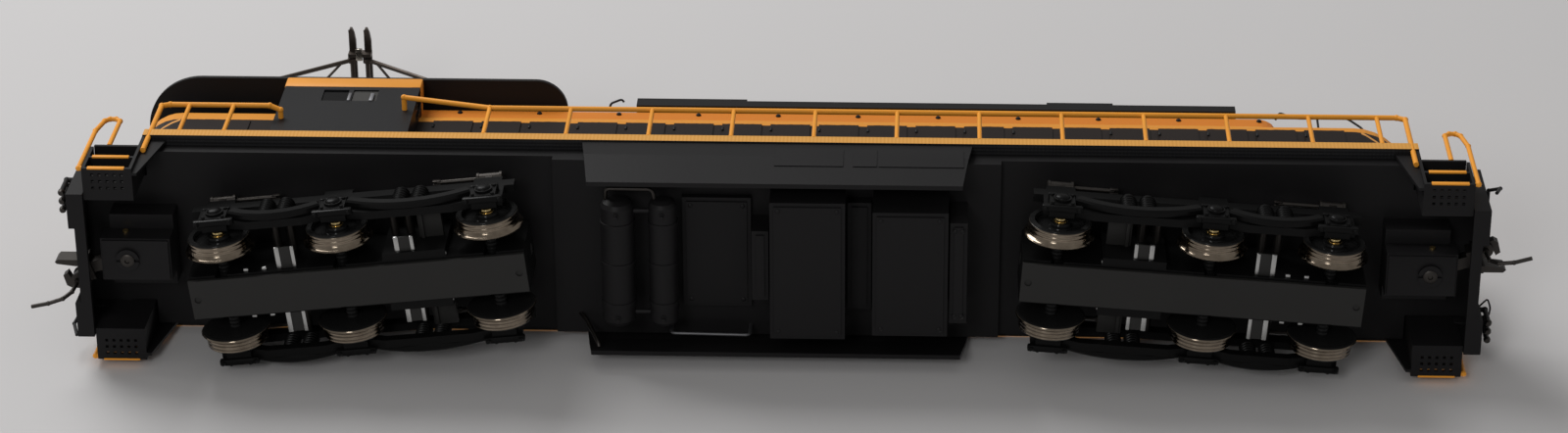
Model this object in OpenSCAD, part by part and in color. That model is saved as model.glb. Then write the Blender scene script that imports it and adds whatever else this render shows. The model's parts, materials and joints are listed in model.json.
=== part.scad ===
// Model electric locomotive with two three-axle trucks, 1:87 scale, 16.5 mm gauge.
// X runs along the track with the cab towards -X, Z is up from the wheel flange tips.

/* [Overall] */
// Length over the coupler faces with both couplers straight
coupled_l = 243.2; // [236:0.2:252]
// Width over the walkway sills
deck_w = 36.3; // [35:0.1:38]
// Height of the walkway top above the flange tips
deck_z = 22; // [21.5:0.1:24]
// Depth of the painted side sill
sill_h = 2.4; // [2:0.1:3]
// Wall thickness of the hoods and the cab
wall = 1; // [0.8:0.1:1.4]

/* [Chassis] */
// Thickness of the chassis floor plate
floor_t = 2.6; // [2:0.1:3.4]
// How far the chassis floor plate stays inside the walkway on each side
floor_in = 1.85; // [1.6:0.05:2.4]
// How far the central part of the floor hangs below the rest
belly_drop = 1.4; // [0.8:0.1:1.6]
// Distance of each truck pivot from the middle, as a share of the length
pivot_share = 0.24424; // [0.238:0.00001:0.25]
// How far a straight coupler reaches beyond the end sheet
coupler_reach = 3.3; // [3:0.1:4]
// Thickness of the end sheets
sheet_t = 1; // [0.8:0.1:1.4]
// Half width of the end sheets
sheet_half_w = 13.4; // [12:0.1:15]
// Height of the end sheet's lower edge
sheet_z = 6; // [5:0.1:7]
// Depth of the lip behind the end sheet's lower edge
lip_d = 2.8; // [2:0.1:3.5]

/* [Corner steps] */
// Length of each tread along the track
tread_l = 7.4; // [6:0.1:8.5]
// Inner side of the step wells, from the centre line
well_y = 11.8; // [11.5:0.1:13]
// Height of the lowest tread
tread_z = 6.6; // [6:0.1:8]
// Rise from one tread to the next
tread_rise = 4.4; // [3.8:0.1:4.8]
// Thickness of a tread
tread_t = 0.6; // [0.4:0.1:0.9]

/* [Skirts and underfloor] */
// Half length of the side skirts at the bottom, as a share of the length
skirt_share = 0.12788; // [0.12:0.00001:0.132]
// Height of the skirts' lower edge
skirt_z = 7.2; // [6:0.1:9]
// Thickness of the skirt sheet
skirt_t = 0.8; // [0.6:0.1:1.2]
// How far the lower edge of a skirt leans in
skirt_lean = 1.6; // [0.8:0.1:2]
// Radius of the larger air tank
tank_a_r = 2.8; // [2.2:0.1:3]
// Radius of the smaller air tank
tank_b_r = 2.4; // [1.8:0.1:2.6]
// Length of the air tanks across the floor
tank_l = 23.8; // [20:0.1:26]
// Resistor box: length, width, depth below the floor
resistor_box = [11.6, 20.4, 1.6];
// Transformer box: length, width, depth below the floor
transformer_box = [12.6, 25.4, 8.6];
// Compressor box: length, width, depth below the floor
compressor_box = [12.6, 23, 9.4];
// Slim cabinet behind the resistor box: length, width, depth
slim_a = [2.8, 12.9, 6.6];
// Slim cabinet behind the transformer box: length, width, depth
slim_b = [4, 20, 2.6];
// Slim cabinet behind the compressor box: length, width, depth
slim_c = [2.9, 18.7, 8.6];

/* [Hoods] */
// Half width of both hoods
hood_half_w = 11; // [10.6:0.1:11.4]
// Walkway left in front of the short hood
nose_in = 4.8; // [3.5:0.1:6]
// Length of the short hood
short_hood_l = 25.2; // [23:0.1:27]
// Walkway left behind the long hood
tail_in = 8.3; // [7:0.1:10]
// Height of the long hood's shoulder above the walkway
shoulder_h = 23; // [22:0.1:24]
// How far the raised part of the long hood stays inside it on each side
raised_in_y = 0.8; // [0.6:0.1:1.2]
// How far the raised part ends ahead of the long hood's rear end
raised_in_x = 21.8; // [18:0.1:24]
// Height of the raised part above the shoulder
raised_h = 5; // [4:0.1:5.4]
// How far the short hood's roof lies below the raised part's
nose_drop = 4; // [3.5:0.1:5]
// Radius of the hoods' roof edges
hood_r = 2.2; // [1.5:0.1:3]
// Radius of the short hood's front corners, as a share of the half width
nose_round = 0.65; // [0.5:0.01:0.9]
// Radius of the long hood's rear corners, as a share of the half width
tail_round = 0.9; // [0.5:0.01:0.95]
// Spacing of the hood side doors
door_pitch = 8.2; // [7.5:0.1:9]
// How far the doors stand proud
door_t = 0.25; // [0.15:0.05:0.35]

/* [Cab] */
// Length of the cab
cab_l = 23.7; // [22:0.1:26]
// Walkway left beside the cab on each side
cab_side = 2.75; // [2.2:0.05:3.2]
// How far the cab roof stands above the raised part of the long hood
cab_rise = 0.2; // [0.1:0.1:0.6]
// Height of the cab roof above the top edge of the cab walls
cab_crown_h = 3.8; // [3.4:0.1:4.2]
// How far the window sills lie below the cab walls' top edge
window_drop = 5.9; // [5.4:0.1:6.6]
// Window height
window_h = 4.6; // [3.8:0.1:5]
// Width of one side window pane
pane_l = 4.4; // [3.6:0.1:5]

/* [Roof] */
// How far the pantograph platform reaches past the short hood's nose
platform_over = 0.3; // [0:0.1:1]
// Length of the pantograph platform
platform_l = 74.6; // [70:0.1:78]
// Half width of the pantograph platform
platform_half_w = 15; // [14:0.1:15.4]
// Gap between the cab roof and the pantograph platform
platform_gap = 0.4; // [0.3:0.1:0.8]
// Thickness of the pantograph platform
platform_t = 0.8; // [0.6:0.1:1.2]
// Bare roof between the pantograph platform and the roof panel
panel_gap = 12.2; // [8:0.1:16]
// Bare roof behind the roof panel
panel_in = 8; // [5:0.1:12]
// How far the roof panel reaches past the raised part on each side
panel_over = 0.6; // [0.2:0.1:1.2]
// Height of the roof panel
panel_h = 2.3; // [1.8:0.1:2.8]

/* [Handrails] */
// Radius of the rails and posts
rail_r = 0.45; // [0.35:0.05:0.5]
// Height of the rails above the walkway
rail_h = 11.1; // [10:0.1:12]
// Spacing of the handrail posts
post_pitch = 14; // [12.5:0.1:14.5]
// First handrail post, from the cab's rear wall
post_start = 13.7; // [12:0.1:15]
// First post behind each end of a handrail, from that end
end_post_in = 4.8; // [4:0.1:6]
// Spacing of the two posts ahead of the cab
front_post_pitch = 7.6; // [6.5:0.1:8]
// How far the rail ends reach down over the sill
rail_foot = 7.5; // [6:0.1:8.5]
// Rise of the rail towards the cab's rear wall
hook_h = 4; // [3:0.1:5]
// Height of the step rail loops above the walkway
loop_h = 4.8; // [4:0.1:6]
// How far the uncoupling levers hang below the walkway
lever_drop = 6; // [5:0.1:7]
// Spacing of the air hoses
hose_pitch = 1.6; // [1.4:0.1:1.8]
// Hanging length of the air hoses
hose_l = 4.5; // [3.5:0.1:5]

/* [Couplers] */
// Height of the coupler centre
coupler_z = 10.8; // [10.4:0.1:11.4]
// Distance from the coupler's pivot to its face
coupler_l = 12.3; // [11.5:0.1:13]
// Width of the coupler box
box_w = 7.8; // [7:0.1:9]
// Width of the floor's pad above a coupler box
pad_w = 13; // [10:0.1:14]
// Thickness of the coupler shank
shank_t = 2; // [1.6:0.1:2.4]
// Radius of the pivot screw
screw_r = 0.95; // [0.7:0.05:1.1]
// Swing of both couplers at rest
coupler_swing = -18; // [-20:1:20]
// Radius of the trip pin wire
pin_r = 0.35; // [0.25:0.05:0.45]

/* [Trucks] */
// Wheel tread radius
wheel_r = 5.25; // [5:0.05:5.5]
// Flange depth
flange_h = 0.64; // [0.5:0.02:0.8]
// Distance between the wheels' backs
wheel_back = 14.5; // [14.2:0.05:14.6]
// Wheel width
wheel_w = 2.8; // [2.4:0.1:3]
// Axle radius inside the wheels
axle_r = 1; // [0.8:0.05:1.2]
// Axle radius at the outer journals
journal_r = 0.8; // [0.6:0.05:0.9]
// Spacing of the outer and middle axles, as a share of the length
outer_share = 0.08265; // [0.079:0.00001:0.086]
// Spacing of the middle and inner axles, as a share of the length
inner_share = 0.10444; // [0.101:0.00001:0.108]
// Width of the gear case
case_w = 8; // [7.6:0.1:9]
// Length of the gear case ahead of the outer axle
case_over = 5.7; // [5.4:0.1:6.4]
// Inner side of the side frames, from the centre line
frame_y = 11.4; // [11:0.1:11.8]
// Thickness of the side frame casting
frame_t = 1.4; // [1.1:0.1:1.6]
// Swivel of the front truck at rest
front_swivel = -6.2; // [-9:0.1:9]
// Swivel of the rear truck at rest
rear_swivel = 4.05; // [-9:0.05:9]

/* [Drive] */
// Motor height across its flats
motor_h = 10.4; // [9:0.1:10.6]
// Motor width across its round sides
motor_w = 14; // [13:0.1:14.5]
// Motor length
motor_l = 26; // [22:0.5:27]
// Thickness of the motor cradle
cradle_t = 0.9; // [0.7:0.1:1.3]
// Largest flywheel radius
flywheel_max_r = 5.8; // [5:0.1:6.2]
// Flywheel length
flywheel_l = 10; // [7:0.5:12]
// Radius of the motor shaft
shaft_r = 0.75; // [0.6:0.05:0.8]
// Teeth on each gear of the tower
tower_teeth = 15; // [13:2:17]
// Teeth on each axle gear
axle_teeth = 16; // [14:1:20]
// Tip radius of the axle gears
axle_gear_r = 3.1; // [2.9:0.05:3.2]
// Radius of the worms
worm_r = 1.6; // [1.3:0.05:1.7]
// Length of each worm
worm_l = 6; // [4:0.5:7]

/* [Pantograph] */
// How far the pantograph stands ahead of the cab's middle
pan_ahead = 3.6; // [0:0.1:5]
// Length of each of the four arms
arm_l = 21.7; // [19:0.1:23]
// Angle of the arms above the level at rest
pan_angle = 36; // [10:1:55]
// Half distance between the paired pivots
pan_spread = 1.4; // [1.1:0.1:1.8]
// Radius of the arm tubes
arm_r = 0.4; // [0.3:0.05:0.5]
// Height of the insulators
insulator_h = 1.2; // [1:0.1:2]
// Height of the lower pivots above the base frame's underside
pan_foot_h = 0.9; // [0.7:0.1:1.4]
// Half length of the collector strips
strip_half_l = 12; // [10:0.1:13]

/* [Hidden] */
$fn = 24;
// Gap between neighbouring pieces that don't touch
gap = 0.3;
// Running clearance of a shaft in its bore
run = 0.05;
// Overlap that joins fused features
fuse = 0.2;

floor_top = deck_z - sill_h;
floor_z = floor_top - floor_t;
floor_w = deck_w - 2 * floor_in;
belly_z = floor_z - belly_drop;
belly_half_l = coupled_l * 0.155;
sheet_x = coupled_l / 2 - coupler_reach;
deck_half_l = sheet_x - sheet_t;
coupler_x = coupled_l / 2 - coupler_l;
pivot_x = coupled_l * pivot_share;
skirt_half_l = coupled_l * skirt_share;
rail_y = deck_w / 2 - rail_r;
rail_z = deck_z + rail_h;

// Hoods, cab and roof from the walkway's ends and height
nose_x = deck_half_l - nose_in;
nose_r = hood_half_w * nose_round;
tail_r = hood_half_w * tail_round;
raised_r = 2 * hood_r;
hood_end_x = deck_half_l - tail_in;
raised_end_x = hood_end_x - raised_in_x;
raised_half_w = hood_half_w - raised_in_y;
shoulder_z = deck_z + shoulder_h;
raised_z = shoulder_z + raised_h;
nose_z = raised_z - nose_drop;
cab_front_x = nose_x - short_hood_l;
cab_rear_x = cab_front_x - cab_l;
cab_half_w = deck_w / 2 - cab_side;
cab_roof_z = raised_z + cab_rise;
cab_wall_z = cab_roof_z - cab_crown_h;
window_z = cab_wall_z - window_drop;
platform_front_x = nose_x + platform_over;
platform_rear_x = platform_front_x - platform_l;
platform_z = cab_roof_z + platform_gap;
panel_front_x = platform_rear_x - panel_gap;
panel_rear_x = raised_end_x - panel_in;
panel_half_w = raised_half_w + panel_over;
post_x = cab_rear_x - post_start;

// Truck frame: the pivot is the origin, -X leads to the outer end
inner_gap = coupled_l * inner_share;
outer_gap = coupled_l * outer_share;
mid_x = -inner_gap / 2;
inner_x = inner_gap / 2;
outer_x = mid_x - outer_gap;
axle_xs = [outer_x, mid_x, inner_x];
axle_z = wheel_r + flange_h;
case_x0 = outer_x - case_over;
case_x1 = inner_x + case_over;
case_z = axle_z - axle_gear_r - gap;
case_wall = 0.9;
cover_t = 0.7;
mesh_gap = 0.1;
worm_z = axle_z + axle_gear_r + worm_r + mesh_gap;
case_top = worm_z + worm_r + gap + case_wall;
shaft_z = floor_top + cradle_t + motor_h / 2;
flywheel_r = min(flywheel_max_r, shaft_z - floor_top - gap);
tower_gear_r = (shaft_z - worm_z) / 4;
tower_in = tower_gear_r * 1.12 + gap;
tower_half = tower_in + 0.8;
tower_top = shaft_z + tower_in + 0.8;
gear_x = -4;
gear_w = 2.5;
cup_r = 2.7;
cup_bore_r = 1.9;
ball_r = 1.5;
stub_r = 1;
collar_r = tower_half * sqrt(2) + 0.25;
clip_t = 0.8;
clip_w = 1.6;
clip_groove = 0.6;

// Pantograph points
pan_x = cab_front_x - cab_l / 2 + pan_ahead;
platform_top = platform_z + platform_t;
pan_base_z = platform_top + insulator_h;
pan_foot = [-pan_x, 0, pan_base_z + pan_foot_h];
arm_dx = arm_l * cos(pan_angle);
arm_dz = arm_l * sin(pan_angle);
lower_y = 7.6;
upper_y = 6.1;
base_y = 9.4;
eye_r = 0.85;
eye_w = 0.9;

// Shared shapes

// Box centred on pos in X and Y and standing on its Z
module slab(size, pos = [0, 0, 0]) {
    translate([pos.x - size.x / 2, pos.y - size.y / 2, pos.z]) cube(size);
}

// Box between two corners
module block(a, b) {
    translate(a) cube(b - a);
}

// Round bar between two points
module rod(a, b, r) {
    v = b - a;
    l = norm(v);
    translate(a) rotate([0, acos(v.z / l), atan2(v.y, v.x)]) cylinder(h = l, r = r);
}

// Bent wire through a list of points
module wire(points, r) {
    last = len(points) - 1;
    bend_r = r * 1.2;
    for (i = [0 : last - 1]) rod(points[i], points[i + 1], r);
    if (last > 1) for (i = [1 : last - 1]) translate(points[i]) sphere(bend_r);
}

// Bar along X, and bar along Y, from one end value to the other
module bar_x(x0, x1, y, z, r) {
    translate([x0, y, z]) rotate([0, 90, 0]) cylinder(h = x1 - x0, r = r);
}

module bar_y(y0, y1, x, z, r) {
    translate([x, y1, z]) rotate([90, 0, 0]) cylinder(h = y1 - y0, r = r);
}

module both_sides() {
    children();
    mirror([0, 1, 0]) children();
}

module both_ends() {
    children();
    rotate([0, 0, 180]) children();
}

module four_corners() {
    both_sides() children();
    mirror([1, 0, 0]) both_sides() children();
}

// Flat gear outline, one tooth centred on angle zero
function gear_points(teeth, tip_r) =
    let (r = tip_r / (1 + 1.6 / teeth), m = 2 * r / teeth, root_r = r - 1.1 * m, step = 360 / teeth)
    [for (i = [0 : teeth - 1], p = [[root_r, -0.32], [tip_r, -0.13], [tip_r, 0.13], [root_r, 0.32]])
        p[0] * [cos((i + p[1]) * step), sin((i + p[1]) * step)]];

// Spur gear along X, with a tooth centred on the given angle from +Y towards +Z
module gear_x_axis(teeth, tip_r, width, phase) {
    rotate([90, 0, 90]) rotate(phase) linear_extrude(width) polygon(gear_points(teeth, tip_r));
}

// Hood with upright corners of radius r and roof edges of radius edge_r
module round_box(x0, x1, half_w, z0, z1, r, edge_r) {
    hull() for (x = [x0 + r, x1 - r], y = [-half_w + r, half_w - r])
        translate([x, y, 0]) rotate_extrude($fn = 32) {
            translate([0, z0]) square([r, z1 - edge_r - z0]);
            translate([0, z0]) square([r - edge_r + fuse, z1 - z0 - fuse]);
            intersection() {
                translate([r - edge_r, z1 - edge_r]) circle(edge_r, $fn = 32);
                translate([0, z0]) square([r, z1 - z0]);
            }
        }
}

// Plate with a radius at its front corners and another at its rear corners
module rounded_plate(x0, x1, half_w, front_r, rear_r) {
    block_2d = [x1 - x0, 2 * half_w];
    difference() {
        translate([x0, -half_w]) square(block_2d);
        for (s = [-1, 1]) {
            translate([x0 - 1, s * half_w - (s > 0 ? front_r : 1)]) square([front_r + 1, front_r + 1]);
            translate([x1 - rear_r, s * half_w - (s > 0 ? rear_r : 1)]) square([rear_r + 1, rear_r + 1]);
        }
    }
    for (s = [-1, 1]) {
        translate([x0 + front_r, s * (half_w - front_r)]) circle(front_r, $fn = 48);
        translate([x1 - rear_r, s * (half_w - rear_r)]) circle(rear_r, $fn = 48);
    }
}

// Chassis and walkway

step_cheek_t = 0.5;
step_gap = 0.1;
tread_out_x = sheet_x - lip_d - step_gap - step_cheek_t;
well_x = tread_out_x - tread_l;
end_post_x = well_x - step_cheek_t - rail_r - run;
box_in = 7.3;
box_out = 4.5;
box_wall = 0.7;
box_z = coupler_z - shank_t / 2 - gap - box_wall;
box_top = coupler_z + shank_t / 2 + gap + box_wall;

module step_wells(inboard) {
    four_corners() block([well_x - inboard, well_y, floor_z - 1], [deck_half_l + 1, deck_w, deck_z + 1]);
}

module chassis_floor() {
    color("dimgray") difference() {
        union() {
            slab([2 * deck_half_l, floor_w, floor_t], [0, 0, floor_z]);
            slab([2 * belly_half_l, floor_w, floor_top - belly_z], [0, 0, belly_z]);
            both_ends() block([coupler_x - box_in, -pad_w / 2, box_top],
                [coupler_x + box_out - 1, pad_w / 2, floor_z + fuse]);
        }
        both_ends() translate([pivot_x, 0, floor_z - 1]) cylinder(h = floor_t + 2, r = collar_r + run);
        both_ends() translate([coupler_x, 0, box_top - 1]) cylinder(h = floor_top, r = screw_r);
        step_wells(step_cheek_t + gap);
    }
}

module motor_cradle() {
    color("black") difference() {
        slab([motor_l - 2, motor_w + 2, motor_h * 0.45], [0, 0, floor_top]);
        translate([0, 0, floor_top + cradle_t]) slab([motor_l, motor_w, motor_h]);
    }
}

module walkway() {
    clear_r = collar_r + clip_w + gap;
    color("orange") difference() {
        slab([2 * deck_half_l, deck_w, sill_h], [0, 0, floor_top]);
        both_ends() translate([pivot_x, 0, floor_top - 1]) cylinder(h = sill_h + 2, r = clear_r);
        slab([motor_l + 2 * flywheel_l + 12, motor_w + 2 + 2 * gap, sill_h + 2], [0, 0, floor_top - 1]);
        step_wells(0);
        four_corners() translate([end_post_x, rail_y, 0]) cylinder(h = rail_z, r = rail_r + run);
    }
}

module side_skirts() {
    top_y = deck_w / 2 - gap;
    bend_z = (floor_top + skirt_z) * 0.55;
    slope = 1.9;
    color("black") both_sides() intersection() {
        translate([-deck_half_l, 0, 0]) rotate([90, 0, 90]) linear_extrude(2 * deck_half_l) polygon([
            [top_y, floor_top], [top_y, bend_z], [top_y - skirt_lean, skirt_z],
            [top_y - skirt_lean - skirt_t, skirt_z], [top_y - skirt_t, bend_z], [top_y - skirt_t, floor_top]
        ]);
        translate([0, deck_w, 0]) rotate([90, 0, 0]) linear_extrude(2 * deck_w) polygon([
            [-skirt_half_l, skirt_z - 1], [skirt_half_l, skirt_z - 1],
            [skirt_half_l + slope, floor_top + 1], [-skirt_half_l - slope, floor_top + 1]
        ]);
    }
}

notch_half_w = 7;
notch_top_z = coupler_z + 3;

module end_sheets() {
    color("black") both_ends() difference() {
        union() {
            block([deck_half_l, -sheet_half_w, sheet_z], [sheet_x, sheet_half_w, deck_z]);
            block([sheet_x - lip_d, -sheet_half_w, sheet_z], [sheet_x, sheet_half_w, sheet_z + sheet_t]);
            both_sides() block([sheet_x - lip_d, sheet_half_w - sheet_t, sheet_z],
                [sheet_x, sheet_half_w, floor_z]);
        }
        block([deck_half_l, -notch_half_w, sheet_z - 1], [sheet_x + 1, notch_half_w, notch_top_z]);
    }
}

module corner_steps() {
    cheek_t = step_cheek_t;
    edge_y = deck_w / 2 - 0.2;
    gusset_y = rail_y - rail_r - run;
    gusset_lean = 4;
    hole = 0.5;
    color("black") four_corners() {
        for (i = [0 : 2]) difference() {
            block([well_x - cheek_t, well_y + gap, tread_z + i * tread_rise],
                [tread_out_x, edge_y, tread_z + i * tread_rise + tread_t]);
            if (i == 0) for (u = [1 : 5], v = [1 : 3])
                slab([hole, hole, 3], [well_x + u * tread_l / 6, edge_y - v * 2.4 * hole, tread_z - 1]);
        }
        block([well_x - cheek_t, well_y + gap, tread_z], [tread_out_x, well_y + gap + cheek_t, floor_top]);
        block([tread_out_x, well_y + gap, tread_z], [tread_out_x + cheek_t, edge_y, floor_top - tread_rise]);
        block([well_x - cheek_t, well_y + gap, tread_z], [well_x, edge_y, floor_top]);
        translate([0, gusset_y, 0]) rotate([90, 0, 0]) linear_extrude(cheek_t) polygon([
            [well_x, tread_z], [well_x, floor_top],
            [well_x - gusset_lean, floor_top], [well_x - gusset_lean / 3, tread_z]
        ]);
    }
}

module coupler_boxes() {
    color("black") both_ends() difference() {
        block([coupler_x - box_in, -box_w / 2, box_z], [coupler_x + box_out, box_w / 2, box_top]);
        block([coupler_x - 3, -box_w / 2 + box_wall, box_z + box_wall],
            [coupler_x + box_out + 1, box_w / 2 - box_wall, box_top - box_wall]);
        translate([coupler_x, 0, box_z - 1]) cylinder(h = box_top, r = screw_r);
    }
}

module coupler_screws() {
    head_r = 2;
    head_t = 0.6;
    color("dimgray") both_ends() translate([coupler_x, 0, 0]) difference() {
        union() {
            translate([0, 0, box_z]) cylinder(h = floor_top - box_z, r = screw_r);
            translate([0, 0, box_z - head_t]) cylinder(h = head_t, r = head_r);
        }
        slab([2 * head_r + 1, 0.5, 0.4], [0, 0, box_z - head_t - 0.05]);
    }
}

// Equipment under the floor

tank_z = belly_z - 5.1;
tank_a_x = -26.5;
tank_b_x = tank_a_x + tank_a_r + tank_b_r + 2.45;

module air_tank(x, r) {
    dome = r * 0.5;
    half = tank_l / 2;
    translate([x, 0, tank_z]) rotate([90, 0, 0]) rotate_extrude($fn = 32) polygon([
        [0, -half], [r * 0.55, -half + dome * 0.15], [r * 0.86, -half + dome * 0.5], [r, -half + dome],
        [r, half - dome], [r * 0.86, half - dome * 0.5], [r * 0.55, half - dome * 0.15], [0, half]
    ]);
    for (s = [-1, 1]) slab([r, 1, belly_z - tank_z], [x, s * half * 0.62, tank_z]);
}

module air_tanks() {
    pipe_r = 0.45;
    pipe_y = tank_l / 2 - 2.4;
    color("black") {
        air_tank(tank_a_x, tank_a_r);
        air_tank(tank_b_x, tank_b_r);
        for (s = [-1, 1]) bar_x(tank_a_x, tank_b_x, s * pipe_y, tank_z, pipe_r);
    }
}

resistor_x = tank_b_x + tank_b_r + 2 * gap + resistor_box.x / 2;
slim_a_x = resistor_x + resistor_box.x / 2 + gap + slim_a.x / 2;
transformer_x = slim_a_x + slim_a.x / 2 + gap + transformer_box.x / 2;
slim_b_x = transformer_x + transformer_box.x / 2 + gap + slim_b.x / 2;
compressor_x = slim_b_x + slim_b.x / 2 + gap + compressor_box.x / 2;
slim_c_x = compressor_x + compressor_box.x / 2 + gap + slim_c.x / 2;

// Cabinet hung under the floor with a raised lid on its lower face
module floor_box(size, x) {
    lid_in = 0.7;
    lid_t = 0.3;
    slab([size.x, size.y, size.z - lid_t], [x, 0, belly_z - size.z + lid_t]);
    slab([size.x - 2 * lid_in, size.y - 2 * lid_in, size.z], [x, 0, belly_z - size.z]);
}

module underfloor_boxes() {
    color("black") {
        floor_box(resistor_box, resistor_x);
        floor_box(transformer_box, transformer_x);
        floor_box(compressor_box, compressor_x);
    }
}

module slim_cabinets() {
    color("black") {
        floor_box(slim_a, slim_a_x);
        floor_box(slim_b, slim_b_x);
        floor_box(slim_c, slim_c_x);
    }
}

// Hoods and cab

// Side doors along one stretch of a hood, with louvres near the foot of each
module hood_doors(x0, x1, z0, z1) {
    count = floor((x1 - x0) / door_pitch);
    louvres = 4;
    slat = 0.5;
    both_sides() for (i = [0 : count - 1]) {
        x = x0 + (i + 0.5) * (x1 - x0) / count;
        block([x - door_pitch * 0.42, hood_half_w - fuse, z0],
            [x + door_pitch * 0.42, hood_half_w + door_t, z1]);
        for (k = [0 : louvres - 1])
            block([x - door_pitch * 0.3, hood_half_w, z0 + 2 + k * 1.6],
                [x + door_pitch * 0.3, hood_half_w + 2 * door_t, z0 + 2 + k * 1.6 + slat]);
    }
}

module short_hood() {
    color("gold") difference() {
        union() {
            round_box(-nose_x, -cab_front_x + nose_r, hood_half_w, deck_z, nose_z, nose_r, hood_r);
            hood_doors(-nose_x + nose_r + 1, -cab_front_x - 1, deck_z + 2, nose_z - 5);
        }
        block([-cab_front_x, -deck_w, deck_z - 1], [0, deck_w, nose_z + 1]);
        translate([0, 0, deck_z - 1]) linear_extrude(nose_z - wall - deck_z + 1)
            rounded_plate(-nose_x + wall, -cab_front_x + 2, hood_half_w - wall, nose_r - wall, fuse);
    }
}

module long_hood() {
    color("orange") difference() {
        union() {
            round_box(-cab_rear_x - tail_r, hood_end_x, hood_half_w, deck_z, shoulder_z, tail_r, hood_r);
            round_box(-cab_rear_x - raised_r, raised_end_x, raised_half_w, deck_z, raised_z,
                raised_r, hood_r);
            hood_doors(-cab_rear_x + 2, hood_end_x - tail_r - 1, deck_z + 2, shoulder_z - hood_r - 1);
        }
        block([-coupled_l, -deck_w, deck_z - 1], [-cab_rear_x, deck_w, raised_z + 1]);
        translate([0, 0, deck_z - 1]) linear_extrude(shoulder_z - wall - deck_z + 1)
            rounded_plate(-cab_rear_x - 2, hood_end_x - wall, hood_half_w - wall, fuse, tail_r - wall);
        block([-coupled_l, -raised_half_w + wall, deck_z - 1],
            [raised_end_x - wall, raised_half_w - wall, raised_z - wall]);
    }
}

side_window_x = -(cab_front_x + cab_rear_x) / 2;
pane_gap = 0.8;
end_pane_y = (hood_half_w + cab_half_w) / 2;
end_pane_w = cab_half_w - hood_half_w - 2;
end_pane_h = 6;

// Solid shape of every cab window, grown by a margin
module cab_panes(margin, depth) {
    both_sides() for (s = [-1, 1])
        slab([pane_l + 2 * margin, depth, window_h + 2 * margin],
            [side_window_x + s * (pane_l + pane_gap) / 2, cab_half_w - wall / 2, window_z - margin]);
    both_sides() for (x = [-cab_front_x + wall / 2, -cab_rear_x - wall / 2])
        slab([depth, end_pane_w + 2 * margin, end_pane_h + 2 * margin],
            [x, end_pane_y, window_z - margin - 1.4]);
}

module cab() {
    inner_x0 = -cab_front_x + wall;
    inner_x1 = -cab_rear_x - wall;
    color("darkslategray") difference() {
        block([-cab_front_x, -cab_half_w, deck_z], [-cab_rear_x, cab_half_w, cab_wall_z]);
        block([inner_x0, -cab_half_w + wall, deck_z - 1], [inner_x1, cab_half_w - wall, cab_wall_z + 1]);
        block([-cab_front_x - 1, -hood_half_w + wall, deck_z - 1],
            [-cab_rear_x + 1, hood_half_w - wall, nose_z - 2]);
        cab_panes(0, 3 * wall);
    }
}

module cab_roof() {
    crown_r = 1.6;
    color("orange") difference() {
        round_box(-cab_front_x, -cab_rear_x, cab_half_w, cab_wall_z - crown_r, cab_roof_z, crown_r, crown_r);
        block([-coupled_l, -deck_w, 0], [0, deck_w, cab_wall_z]);
        block([-cab_front_x + wall, -cab_half_w + wall, cab_wall_z - 1],
            [-cab_rear_x - wall, cab_half_w - wall, cab_roof_z - wall]);
    }
}

module cab_glass() {
    color("lightgray") cab_panes(0, wall / 2);
}

module roof_panel() {
    hatch_h = 0.7;
    slot = 0.8;
    slots = 12;
    hatch_a = [-panel_front_x, -panel_front_x + 19.4];
    hatch_b = [panel_rear_x - 33, panel_rear_x - 21.4];
    grille = [hatch_a[1] + 4, hatch_b[0] - 4];
    pitch = (grille[1] - grille[0]) / slots;
    color("black") difference() {
        union() {
            block([-panel_front_x, -panel_half_w, raised_z],
                [panel_rear_x, panel_half_w, raised_z + panel_h]);
            for (h = [hatch_a, hatch_b])
                block([h[0], -panel_half_w, raised_z], [h[1], panel_half_w, raised_z + panel_h + hatch_h]);
        }
        for (i = [0 : slots - 1])
            slab([slot * 2, panel_half_w, slot * 2],
                [grille[0] + (i + 0.5) * pitch, 0, raised_z + panel_h - slot]);
    }
}

module pantograph_platform() {
    post_r = 0.8;
    front_r = 10;
    rear_r = 5.5;
    front_posts = [-platform_front_x + 8, -cab_front_x - 4];
    rear_posts = [-cab_rear_x + 5, -platform_rear_x - 4];
    color("black") {
        translate([0, 0, platform_z]) linear_extrude(platform_t)
            rounded_plate(-platform_front_x, -platform_rear_x, platform_half_w, front_r, rear_r);
        for (x = front_posts, y = [-7, 7])
            translate([x, y, nose_z]) cylinder(h = platform_z - nose_z + fuse, r = post_r);
        for (x = rear_posts, y = [-7, 7])
            translate([x, y, raised_z]) cylinder(h = platform_z - raised_z + fuse, r = post_r);
        for (x = [-cab_front_x + 5, -cab_rear_x - 5], y = [-9, 9])
            translate([x, y, cab_roof_z]) cylinder(h = platform_z - cab_roof_z + fuse, r = 2 * post_r);
    }
}

// Rails, levers and lights

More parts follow.
